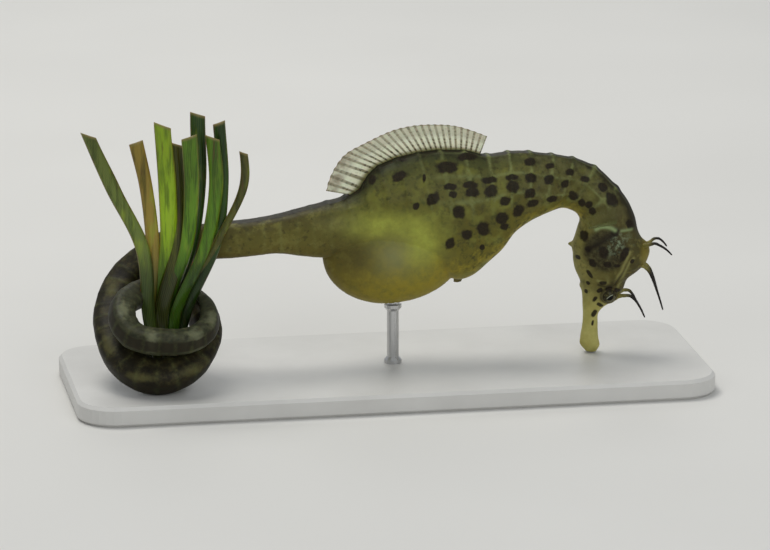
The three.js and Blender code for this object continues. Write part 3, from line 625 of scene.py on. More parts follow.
def head_lift(head):
    """Height of the head's plates and spines, in its own frame."""
    f, l, z = np.moveaxis(head, -1, 0)
    flank = smooth_step(np.abs(l), 1.2, 2.6)

    def along(path, width):
        return bump(distance_to_path(f, z, path), 0, width) * flank

    lift = 0.16 * along(GILL_EDGE, 0.5) - 0.2 * along(GILL_GROOVE, 0.4) + 0.14 * along(BROW_RIDGE, 0.45)
    lift = lift + 0.26 * along(FIN_FOOT, 0.5) + 0.08 * along(NAPE_STRIP, 0.4) - 0.16 * along(GILL_TOP, 0.6)
    # Fine ribs fan over the gill cover from its front lower corner.
    away = np.hypot(f - 2.5, z - 26.5)
    fan = np.arctan2(z - 26.5, 2.5 - f)
    lift = lift + 0.05 * np.cos(fan * 26) * bump(away, 5, 2.6) * flank
    for mf, mz, ml, height, reach in HEAD_SPINES:
        near = np.sqrt((f - mf) ** 2 + (z - mz) ** 2 + (np.abs(l) - ml) ** 2)
        lift = lift + height * bump(near, 0, reach)
    return lift


def gaze(side):
    """The way an eye looks, in the head's frame: outward, a little forward and down."""
    return unit(np.array([0.4, side * 0.87, -0.26]))


def shape_eye(head, side):
    """Opens the socket round one eye and raises its lid. Returns the points and the lid's share."""
    centre = np.array([EYE_CENTRE[0], side * EYE_CENTRE[1], EYE_CENTRE[2]])
    away = head - centre
    far = np.linalg.norm(away, axis=-1)
    theta = np.degrees(np.arccos(np.clip(unit(away) @ gaze(side), -1, 1)))
    near = (far < 6) & (head[..., 1] * side > 0)
    hollow = mix(EYE_RADIUS - 0.35, EYE_RADIUS + 0.32, smooth_step(theta, 50, 66))
    rim = hollow - 0.1 * smooth_step(theta, 68, 84)
    target = mix(rim, far, smooth_step(theta, 70, 104))
    moved = centre + unit(away) * target[..., None]
    lid = np.where(theta < 74, 1, bump(theta, 74, 9)) * near
    return np.where(near[..., None], moved, head), lid


def mouth_rows(grid):
    """Rows that turn in from the lips to a small open mouth."""
    centre = grid[-1].mean(0)
    run = unit(grid[-1].mean(0) - grid[-9].mean(0))
    rows = []
    for shrink, push in [(0.93, 0.16), (0.8, 0.22), (0.66, 0.16), (0.55, -0.05), (0.48, -0.5), (0.4, -1.1)]:
        rows.append(centre + (grid[-1] - centre) * shrink + run * push)
    return np.vstack([grid, np.array(rows)])


SPOT_SQUARENESS = 2.6


def spot_field(grid, at, angle, spots, facing, radius, mirrored=True):
    """The depth inside the nearest spot at every point: 1 in its middle, 0 at its edge."""
    view, depth = in_view(grid)
    along = np.gradient(grid, axis=0) / np.gradient(at)[:, None, None]
    around = (np.roll(grid, -1, 1) - np.roll(grid, 1, 1)) / 2
    reach = np.linalg.norm(around, axis=-1)
    run = np.cumsum(reach, axis=1)
    whole = run[:, -1]
    field = np.full(grid.shape[:2], -1.0)
    random = np.random.default_rng(SEED)
    for x, y, width, height, slant in spots:
        off = np.hypot(view[..., 0] - x, view[..., 1] - y)
        cost = off + np.where(facing, 0, 1e3) + (depth - depth.min()) * 0.25
        i, j = np.unravel_index(np.argmin(cost), cost.shape)
        if off[i, j] > 6:
            continue
        base = in_view(grid[i, j])[0]
        step_along = in_view(grid[i, j] + unit(along[i, j]))[0] - base
        step_around = in_view(grid[i, j] + unit(around[i, j]))[0] - base
        turns = [0.0, 1.0] if mirrored else [0.0]
        rows = np.abs(at - at[i]) < radius
        for flip in turns:
            jitter = random.normal(0, 0.5, 2) * flip
            start = run[i, j] / whole[i]
            middle = (1 - start) if flip else start
            d_along = (at[rows] - at[i] - jitter[0])[:, None] * np.ones(grid.shape[1])
            gap = (run[rows] / whole[rows, None] - middle + 0.5) % 1 - 0.5
            d_around = gap * whole[rows, None] - jitter[1]
            if flip:
                d_around = -d_around
            px = d_along * step_along[0] + d_around * step_around[0]
            py = d_along * step_along[1] + d_around * step_around[1]
            lean = math.radians(slant)
            wide = np.abs(px * math.cos(lean) - py * math.sin(lean)) / (width / 2)
            high = np.abs(px * math.sin(lean) + py * math.cos(lean)) / (height / 2)
            seen = (wide**SPOT_SQUARENESS + high**SPOT_SQUARENESS) ** (1 / SPOT_SQUARENESS)
            size = max(width, height) / 2 * VIEW_MM_PER_PIXEL * 1.35
            real = np.hypot(d_along, d_around) / size
            field[rows] = np.maximum(field[rows], 1 - np.maximum(seen, real))
    return field


def head_spot_field(grid, head, facing):
    """The depth inside the nearest head spot, each drawn flat on the right side and again, shifted, on the left."""
    view, depth = in_view(grid)
    f, l, z = np.moveaxis(head, -1, 0)
    field = np.full(f.shape, -1.0)
    random = np.random.default_rng(SEED)
    for x, y, width, height, slant in HEAD_SPOTS:
        off = np.hypot(view[..., 0] - x, view[..., 1] - y) + np.where(facing, 0, 1e3) + (depth - depth.min()) * 0.25
        middle = head[np.unravel_index(np.argmin(off), off.shape)]
        lean = math.radians(slant)
        for side in (-1, 1):
            shift = random.normal(0, 0.35, 2) * (side > 0)
            px = (f - middle[0] - shift[0]) / VIEW_MM_PER_PIXEL
            py = (middle[2] - z + shift[1]) / VIEW_MM_PER_PIXEL
            wide = np.abs(px * math.cos(lean) - py * math.sin(lean)) / (width / 2)
            high = np.abs(px * math.sin(lean) + py * math.cos(lean)) / (height / 2)
            seen = (wide**SPOT_SQUARENESS + high**SPOT_SQUARENESS) ** (1 / SPOT_SQUARENESS)
            field = np.maximum(field, np.where(l * side > 0, 1 - seen, -1))
    return field


def build_skin():
    at = skin_rows()
    angle = np.arange(SKIN_SIDES) * 2 * math.pi / SKIN_SIDES
    wide_at = np.repeat(at, SKIN_SIDES)
    wide_angle = np.tile(angle, len(at))
    grid = body_surface(wide_at, wide_angle).reshape(len(at), SKIN_SIDES, 3)
    grid, pouch = add_pouch(grid, at, angle)
    lift, lines = ring_lift(at, angle, pouch)
    on_head = smooth_step(at, AT_NAPE - 3, AT_NAPE + 2)[:, None]
    lift = lift + head_lift(model_to_head(grid)) * on_head * (at < AT_LIPS - 1)[:, None]
    grid = grid + grid_normals(grid) * lift[..., None]
    lid = np.zeros(grid.shape[:2])
    head = model_to_head(grid)
    top_rows = at > AT_NAPE
    for side in (-1, 1):
        shaped, share = shape_eye(head[top_rows], side)
        head[top_rows] = shaped
        lid[top_rows] = np.maximum(lid[top_rows], share)
    grid[top_rows] = head_to_model(head[top_rows])

    facing = (grid_normals(grid) @ VIEW_BACK) > 0.12
    trunk = (at > AT_TAIL_ROOT - 4)[:, None] & (at < AT_NAPE + 4)[:, None]
    skull = (at > AT_NAPE - 6)[:, None]
    coil = (at < AT_TAIL_ROOT)[:, None]
    spots = spot_field(grid, at, angle, SPOTS, facing & trunk, 8)
    patches = spot_field(grid, at, angle, TAIL_PATCHES_AND_HIGHLIGHTS, facing & coil, 12, mirrored=False)
    head = model_to_head(grid)
    on_skull = np.where(skull, head_spot_field(grid, head, facing & skull), -1)
    spots = np.maximum(spots, on_skull)
    f, l, z = np.moveaxis(head, -1, 0)
    flank = smooth_step(np.abs(l), 1.2, 2.6) * on_head

    def along(path, width):
        return bump(distance_to_path(f, z, path), 0, width) * flank

    cover = np.hypot((f - GILL_COVER["f"]) / GILL_COVER["half_length"], (z - GILL_COVER["z"]) / GILL_COVER["half_height"])
    side = np.abs((angle + math.pi) % (2 * math.pi) - math.pi)[None, :]
    crest_spread = mix(*CREST_SPREAD, smooth_step(at, AT_NECK + 5, AT_NAPE))[:, None]
    masks = {
        "spot": spots,
        "patch_and_highlight": patches,
        "line": lines,
        "pouch": pouch_tone(grid) * (1 - on_head),
        # painted highlight
        "painted_highlight": cloud(grid, HIGHLIGHT_PLACES) * (1 - on_head),
        # painted shade
        "shade": cloud(grid, SHADE) * (1 - on_head),
        "crest": bump(side / crest_spread, 0, 1) * (1 - smooth_step(at, AT_NAPE + 3, AT_NAPE + 9))[:, None],
        "notch": bump(side, 0, 0.5) * bump(ring_gap(at), 0, 0.9)[:, None] * (1 - on_head),
        "saddle": bump(side, 0, SADDLE["spread"]) * window(grid[..., 0], SADDLE["from"], SADDLE["to"], 2) * trunk,
        # paler patch, and a painted reflection on the pouch's middle
        "pale": cloud(grid, PALE_AND_REFLECTION_PLACES) * (1 - on_head),
        "neck": window(at, AT_NECK - 4, AT_NAPE + 2, 5)[:, None] * (1 - smooth_step(side, 1.7, 2.4)),
        "belly": 0.5 - 0.5 * np.cos(angle)[None, :],
        "tail": tail_share(at)[:, None],
        "coil": 1 - smooth_step(at, *COIL_TONE)[:, None],
        "tip": 1 - smooth_step(at, *TIP_TONE)[:, None],
        "skull": on_head,
        "cover": (1 - smooth_step(cover, 0.7, 1.1)) * flank,
        "sheen": bump(np.hypot(f - 3.4, (z - 34.8) * 1.1), 0, 2.9) * flank,
        "ridge": np.maximum(along(GILL_EDGE, 0.38), along(BROW_RIDGE, 0.34)),
        # painted shade in the dent over the gill cover and the groove under its ridge
        "band": np.maximum(along(GILL_TOP, 0.9), 0.75 * along(GILL_GROOVE, 0.35)),
        "fin_foot": np.maximum(along(FIN_FOOT, 0.5), 0.7 * along(NAPE_STRIP, 0.35)),
        "front": smooth_step(f, 9, 10.4) * bump(z, 31, 4.5) * on_head,
        "lid": lid,
        "snout": smooth_step(at, AT_SNOUT - 7, AT_SNOUT + 1)[:, None],
    }

    full = mouth_rows(grid)
    rows = len(full)
    extra = rows - len(grid)

    def mask(values):
        values = np.broadcast_to(values, grid.shape[:2])
        return with_ends(np.vstack([values, np.repeat(values[-1:], extra, 0)]), rows, SKIN_SIDES)

    mouth = np.zeros((rows, SKIN_SIDES))
    mouth[-extra + 2 :] = 1
    points, faces = closed_tube(full)
    lengths = [f"tail_{i}" for i in range(1, 7)]
    return mesh_piece(
        "skin", points, faces,
        replaced=[*lengths, "trunk_rear", "trunk_front", "neck", "pouch", "head", "snout"],
        slot="trunk_skin",
        mouth=with_ends(mouth, rows, SKIN_SIDES),
        **{name: mask(values) for name, values in masks.items()},
    )


# ---------------------------------------------------------------- eyes

EYE_SIDES, EYE_BANDS = 120, 80
CORNEA = {"height": 0.06, "reach": 0.55}
PUPIL = {"half_length": 0.4, "half_height": 0.24, "tilt": 0.62}  # shares of the eye's radius, and radians
IRIS_RAYS = {"count": 9, "first": 1.66}  # dark dashes round the iris


def build_eye(side, word):
    """An eyeball with a slightly raised cornea. Its masks say how far a point is from the pupil, in pupils."""
    centre = np.array([EYE_CENTRE[0], side * EYE_CENTRE[1], EYE_CENTRE[2]])
    ahead = gaze(side)
    level = unit(np.cross(ahead, [0, 0, 1.0]) * side)
    upright = np.cross(level, ahead)
    upright = upright * np.sign(upright[2])
    theta = np.linspace(0.02, math.pi - 0.02, EYE_BANDS)[:, None]
    phi = (np.arange(EYE_SIDES) * 2 * math.pi / EYE_SIDES)[None, :]
    radius = 1 + CORNEA["height"] * bump(theta, 0, CORNEA["reach"])
    out = (np.cos(theta) * radius * np.ones_like(phi))[..., None] * ahead
    flat = np.cos(phi)[..., None] * level + np.sin(phi)[..., None] * upright
    ball = out + (np.sin(theta) * radius)[..., None] * flat
    points, faces = closed_tube(head_to_model(centre + EYE_RADIUS * ball))
    u, v = np.sin(theta) * np.cos(phi), np.sin(theta) * np.sin(phi)
    tilt = PUPIL["tilt"]
    along = u * math.cos(tilt) + v * math.sin(tilt)
    over = v * math.cos(tilt) - u * math.sin(tilt)
    masks = {
        "pupil": np.hypot(along / PUPIL["half_length"], over / PUPIL["half_height"]),
        "over": over,
        "iris": np.sin(theta) * np.ones_like(phi),
        "dash": 0.5 + 0.5 * np.cos(IRIS_RAYS["count"] * (phi - IRIS_RAYS["first"])) * np.ones_like(theta),
    }
    return mesh_piece(
        f"eyeball_{word}", points, faces, replaced=[f"eye_{word}"], slot="eye",
        **{name: with_ends(values, EYE_BANDS, EYE_SIDES) for name, values in masks.items()},
    )


# ---------------------------------------------------------------- filaments

FILAMENT_TIP = 0.19
FILAMENT_DARK = (1.8, 4.8)  # the olive root turns black along this stretch
FILAMENT_FLARE = {"width": 0.6, "reach": 0.8}  # of the fleshy foot, millimetres


def spline(points, count):
    """Evenly spaced points of a smooth curve through the given ones."""
    points = np.array(points, float)
    at = np.concatenate([[0], np.cumsum(np.linalg.norm(np.diff(points, axis=0), axis=1))])
    curve = curve_through(np.hstack([at[:, None], points]))
    return curve(np.linspace(0, at[-1], count)), at[-1]


def tube_grid(path, radius, sides):
    """A rows by sides grid round a path, with a frame that doesn't twist."""
    run = unit(np.gradient(path, axis=0))
    across = unit(np.cross(run[0], [0.3, 0.2, 0.9]))
    grid = []
    for place, forward, r in zip(path, run, radius):
        across = unit(across - forward * (across @ forward))
        over = np.cross(forward, across)
        turn = np.arange(sides) * 2 * math.pi / sides
        grid.append(place + r * (np.cos(turn)[:, None] * across + np.sin(turn)[:, None] * over))
    return np.array(grid)


def build_filament(node, points):
    kind = node.split("_")[0]
    rows, sides = 72, 16
    path, length = spline(head_to_model(points), rows)
    share = np.linspace(0, 1, rows)
    at = share * length
    radius = mix(FILAMENT_ROOT[kind], FILAMENT_TIP, share**1.1)
    radius = radius + FILAMENT_FLARE["width"] * np.exp(-at / FILAMENT_FLARE["reach"])
    tip = np.sqrt(1 - 0.9 * smooth_step(at, length - 0.3, length))
    radius = radius * (1 + 0.04 * np.sin(at * 5.2)) * tip
    grid = tube_grid(path, radius, sides)
    points, faces = closed_tube(grid)
    return mesh_piece(
        node.replace("filament", "thread"), points, faces, replaced=[node], slot="filament",
        out=with_ends(smooth_step(at, *FILAMENT_DARK)[:, None], rows, sides),
    )


# ---------------------------------------------------------------- fins


def fin_sheet(name, base, margin, thickness, node, across, rays, ripple=0.0, steps=(433, 52)):
    """A thin fin between a base and a margin curve, with raised rays, closed all round."""
    columns, rows = steps
    u = np.linspace(0, 1, columns)
    v = np.linspace(0, 1, rows)
    start, end = base(u), margin(u)
    sheet = start[:, None] + (end - start)[:, None] * v[None, :, None]
    wave = ripple * np.sin(u * 21 + 0.6)[:, None] * v[None, :] ** 1.4
    sheet = sheet + wave[..., None] * across(u)[:, None]
    ray = 0.5 + 0.5 * np.cos(2 * math.pi * rays * u)
    scallop = 1 - 0.02 * (1 - ray)
    sheet[:, -1] = sheet[:, 0] + (sheet[:, -1] - sheet[:, 0]) * scallop[:, None]
    half = thickness / 2 * (mix(1, 0.35, v)[None, :] * (0.45 + 0.75 * ray[:, None] ** 4))
    normal = across(u)[:, None]
    front, back = sheet + normal * half[..., None], sheet - normal * half[..., None]
    points = np.vstack([front.reshape(-1, 3), back.reshape(-1, 3)])
    index = np.arange(columns * rows).reshape(columns, rows)
    other = index + columns * rows
    faces = []
    for a, b, c, d in ((index[:-1, :-1], index[1:, :-1], index[1:, 1:], index[:-1, 1:]),
                       (other[:-1, :-1], other[:-1, 1:], other[1:, 1:], other[1:, :-1])):
        faces += np.stack([a, b, c, d], axis=-1).reshape(-1, 4).tolist()
    loop = np.concatenate([index[:-1, 0], index[-1, :-1], index[:0:-1, -1], index[0, :0:-1]])
    loop_other = loop + columns * rows
    faces += np.stack([loop, loop_other, np.roll(loop_other, -1), np.roll(loop, -1)], axis=-1).tolist()
    ray_mask = np.broadcast_to(ray[:, None], (columns, rows)).ravel()
    out = np.broadcast_to(v[None, :], (columns, rows)).ravel()
    length = np.broadcast_to(u[:, None], (columns, rows)).ravel()
    return mesh_piece(
        name, points, faces, replaced=[node], slot="fin_membrane",
        ray=np.tile(ray_mask, 2), out=np.tile(out, 2), length=np.tile(length, 2),
    )


def build_dorsal_fin():
    at = np.linspace(AT_TAIL_ROOT, AT_NECK, 400)
    crest = body_surface(at, np.zeros_like(at))
    low, high = DORSAL_FIN_FOOT_X
    margin = np.array([(x, 0, z) for x, z in DORSAL_FIN_MARGIN], float)
    outer, _ = spline(margin, 400)

    def base(u):
        x = mix(low, high, u)
        z = np.interp(x, crest[:, 0], crest[:, 2]) - 0.25
        return np.stack([x, np.zeros_like(x), z], axis=1)

    def edge(u):
        # The rays crowd towards the rear, where the margin turns down steeply.
        share = u**0.96
        return np.stack([np.interp(share, np.linspace(0, 1, 400), outer[:, k]) for k in range(3)], axis=1)

    def across(u):
        return np.tile([0.0, -1.0, 0.0], (len(u), 1))

    return fin_sheet("fin_dorsal", base, edge, 0.42, "dorsal_fin", across, DORSAL_FIN_RAYS, ripple=0.35)


def build_pectoral_fin(side, word):
    """A small clear fan that lies back over the neck. side is 1 on the right."""
    middle = math.radians(PECTORAL_FIN["angle"])

    def place(u, reach, lift):
        spread = (u - 0.5) * 2
        at = AT_NAPE + PECTORAL_FIN["ahead"] - reach * (1 - PECTORAL_FIN["roundness"] * spread**2)
        half_width = PECTORAL_FIN["half_width"] + PECTORAL_FIN["flare"] * reach
        return body_surface(at, side * (middle + spread * half_width / PECTORAL_FIN["neck_radius"]), lift)

    def base(u):
        return place(u, 0 * u, 0.3)

    def margin(u):
        return place(u, PECTORAL_FIN["length"] + 0 * u, 1.2)

    def across(u):
        return unit(place(u, 2.0 + 0 * u, 2.0) - place(u, 2.0 + 0 * u, 0.0))

    name, node = f"fin_pectoral_{word}", f"pectoral_fin_{word}"
    return fin_sheet(name, base, margin, 0.3, node, across, PECTORAL_FIN["rays"], steps=(181, 30))


def build_anal_fin():
    x, z = ANAL_FIN["x"], ANAL_FIN["z"]

    def base(u):
        return np.stack([x + ANAL_FIN["length"] * (u - 0.5), 0 * u, z + 0.3 + 0 * u], axis=1)

    def margin(u):
        drop = ANAL_FIN["height"] * (0.75 + 0.25 * np.sin(math.pi * u))
        return np.stack([x - 0.2 + 0.85 * ANAL_FIN["length"] * (u - 0.5), 0 * u, z - drop], axis=1)

    def across(u):
        return np.tile([0.0, -1.0, 0.0], (len(u), 1))

    return fin_sheet("fin_anal", base, margin, 0.3, "anal_fin", across, 4, steps=(49, 14))


# ---------------------------------------------------------------- the plant

BLADE_SIDES = 20
BLADE_ROWS = 150
BLADE_THICKNESS = 0.75
GRIP_CLEARANCE = 0.4
CROWN = {"radius_x": 5.2, "radius_y": 3, "foot": 0.62, "shoulder": 11, "top": 17, "stems": 9}
BLADE_CUT_SLANT = 0.35  # drop of a cut top from one edge to the other, in widths


def blade_grid(sideways, depth, width, cut, row):
    """One strap blade: a shallow channel in section, leaning and twisting a little on its way up."""
    foot = (BLADE_FOOT, PLANT_X + sideways[0] * 0.55, PLANT_Y - 0.2 + row * 0.6)
    rise = [
        (height, PLANT_X + sideways[i], PLANT_Y - 0.2 + mix(1.2 * row, depth, i / 3))
        for i, height in enumerate(BLADE_HEIGHTS)
    ]
    path = curve_through([foot, *rise])
    height = np.linspace(BLADE_FOOT, cut, BLADE_ROWS)
    x, y = path(height).T
    narrow = mix(0.7, 1, smooth_step(height, BLADE_FOOT, 30))
    turn = np.arange(BLADE_SIDES) * 2 * math.pi / BLADE_SIDES
    across = power(np.sin(turn), 0.8)[None, :] * (width / 2 * narrow)[:, None]
    channel = 0.5 * (across / (width / 2)) ** 2
    through = -power(np.cos(turn), 0.7)[None, :] * BLADE_THICKNESS / 2 * np.ones_like(across)
    through = through * mix(1, 0.35, np.abs(np.sin(turn)) ** 3)[None, :]
    veins = 0.04 * np.cos(across * 9) * (np.abs(np.cos(turn)) > 0.3)[None, :]
    twist = 0.4 * np.sin(height * 0.06 + sideways[2])[:, None]
    slant = BLADE_CUT_SLANT * (width / 2 + across * (1 if row else -1)) * smooth_step(height, cut - 14, cut)[:, None]
    points = np.stack([
        x[:, None] + across * np.cos(twist),
        y[:, None] + through + channel + veins + across * np.sin(twist) * 0.6,
        height[:, None] - slant,
    ], axis=-1)
    return points, across / (width / 2), (height - BLADE_FOOT) / (cut - BLADE_FOOT)


def out_of_tail(points):
    """Moves points that lie in the tail's winding out to its surface."""
    at = np.arange(1, AT_TAIL_ROOT - 20, 0.5)
    sections = section_at(at)
    centre = sections[:, :3]
    radius = np.linalg.norm(sections[:, 3:6], axis=1) + GRIP_CLEARANCE
    flat = points.reshape(-1, 3)
    for _ in range(2):
        away = flat[:, None] - centre[None]
        far = np.linalg.norm(away, axis=-1)
        inside = radius[None] - far
        worst = np.argmax(inside, axis=1)
        each = np.arange(len(flat))
        depth = inside[each, worst]
        direction = unit(away[each, worst])
        flat = flat + np.where(depth > 0, depth, 0)[:, None] * direction
    return flat.reshape(points.shape)


def build_crown():
    """The knot of stems that the blades rise from."""
    height = np.linspace(5.02, CROWN["top"], 70)
    turn = np.arange(128) * 2 * math.pi / 128
    narrow = mix(CROWN["foot"], 1, smooth_step(height, 5, CROWN["shoulder"]))
    share = np.clip((height - CROWN["shoulder"]) / (CROWN["top"] - CROWN["shoulder"]), 0, 1)
    narrow = narrow * np.sqrt(1 - 0.96 * share**2)
    lobes = np.abs(np.cos(turn * CROWN["stems"] / 2 + 0.4))[None, :]
    stem = 0.78 + 0.26 * lobes * smooth_step(height, 5, 8)[:, None]
    x = PLANT_X + np.sin(turn)[None, :] * CROWN["radius_x"] * narrow[:, None] * stem
    y = PLANT_Y - 0.2 - np.cos(turn)[None, :] * CROWN["radius_y"] * narrow[:, None] * stem
    return np.stack([x, y, np.broadcast_to(height[:, None], x.shape)], axis=-1)


def build_plant():
    tones = {"olive": 0.1, "tan": 0.3, "brown": 0.5, "bright": 0.7, "green": 0.85, "dark": 1.0}
    points, faces, tone, edge, rise = [], [], [], [], []

    def add(grid, tint, across, along):
        rows, sides = grid.shape[:2]
        ring, ring_faces = closed_tube(grid)
        start = sum(len(p) for p in points)
        faces.extend([[start + i for i in face] for face in ring_faces])
        points.append(ring)
        tone.append(np.full(len(ring), tint))
        edge.append(with_ends(across, rows, sides))
        rise.append(with_ends(along[:, None], rows, sides))

    for i, (sideways, depth, width, cut, tint) in enumerate(BLADES):
        grid, across, along = blade_grid(sideways, depth, width, cut, i % 3 - 1)
        add(out_of_tail(grid), tones[tint], across, along)
    crown = out_of_tail(build_crown())
    add(crown, tones["brown"], np.zeros(crown.shape[:2]), np.full(len(crown), 0.4))
    return mesh_piece(
        "plant_blades", np.vstack(points), faces, replaced=["perch_plant"], slot="plant_blade",
        tone=np.concatenate(tone), edge=np.concatenate(edge), rise=np.concatenate(rise),
    )


# ---------------------------------------------------------------- materials


class Look:
    """A material's nodes. Each call adds one node and gives its output; place is the point in metres."""

    def __init__(self, name, **shader):
        self.material = bpy.data.materials.new(name)
        self.material.use_nodes = True
        self.nodes = self.material.node_tree.nodes
        self.links = self.material.node_tree.links
        self.shader = self.nodes["Principled BSDF"]
        self.place = self.nodes.new("ShaderNodeTexCoord").outputs["Object"]
        for key, value in shader.items():
            self.shader.inputs[key.replace("_", " ")].default_value = value

    def feed(self, socket, value):
        if isinstance(value, bpy.types.NodeSocket):
            self.links.new(value, socket)
        else:
            socket.default_value = value

    def math(self, operation, a, b=0.0, clamp=False):
        node = self.nodes.new("ShaderNodeMath")
        node.operation, node.use_clamp = operation, clamp
        self.feed(node.inputs[0], a)
        self.feed(node.inputs[1], b)
        return node.outputs[0]

    def mask(self, name):
        node = self.nodes.new("ShaderNodeAttribute")
        node.attribute_name = name
        return node.outputs["Fac"]

    def noise(self, scale, detail=3.0, roughness=0.55, stretch=None):
        node = self.nodes.new("ShaderNodeTexNoise")
        node.inputs["Scale"].default_value = scale
        node.inputs["Detail"].default_value = detail
        node.inputs["Roughness"].default_value = roughness
        self.feed(node.inputs["Vector"], self.stretched(stretch) if stretch else self.place)
        return node.outputs["Fac"]

    def cells(self, scale):
        node = self.nodes.new("ShaderNodeTexVoronoi")
        node.inputs["Scale"].default_value = scale
        self.feed(node.inputs["Vector"], self.place)
        return node.outputs["Distance"]

    def stretched(self, factors):
        node = self.nodes.new("ShaderNodeMapping")
        node.inputs["Scale"].default_value = factors
        self.feed(node.inputs["Vector"], self.place)
        return node.outputs[0]

    def ramp(self, value, *stops):
        node = self.nodes.new("ShaderNodeValToRGB")
        self.feed(node.inputs[0], value)
        elements = node.color_ramp.elements
        while len(elements) < len(stops):
            elements.new(0.5)
        for element, (position, colour) in zip(elements, stops):
            element.position = position
            element.color = (*colour, 1) if isinstance(colour, tuple) else (colour, colour, colour, 1)
        return node.outputs[0]

    def blend(self, share, a, b, mode="MIX"):
        node = self.nodes.new("ShaderNodeMix")
        node.data_type, node.blend_type = "RGBA", mode
        self.feed(node.inputs[0], share)
        for socket, value in ((node.inputs[6], a), (node.inputs[7], b)):
            self.feed(socket, (*value, 1) if isinstance(value, tuple) else value)
        return node.outputs[2]

    def edge(self, value, low, high):
        """0 below low and 1 above high."""
        node = self.nodes.new("ShaderNodeMapRange")
        node.interpolation_type = "SMOOTHSTEP"
        self.feed(node.inputs["Value"], value)
        node.inputs["From Min"].default_value = low
        node.inputs["From Max"].default_value = high
        return node.outputs["Result"]

    def bump(self, height, strength, distance):
        node = self.nodes.new("ShaderNodeBump")
        node.inputs["Strength"].default_value = strength
        node.inputs["Distance"].default_value = distance
        self.feed(node.inputs["Height"], height)
        self.feed(self.shader.inputs["Normal"], node.outputs[0])

    def finish(self, colour=None, roughness=None, alpha=None):
        for key, value in (("Base Color", colour), ("Roughness", roughness), ("Alpha", alpha)):
            if value is not None:
                self.feed(self.shader.inputs[key], value)
        return self.material


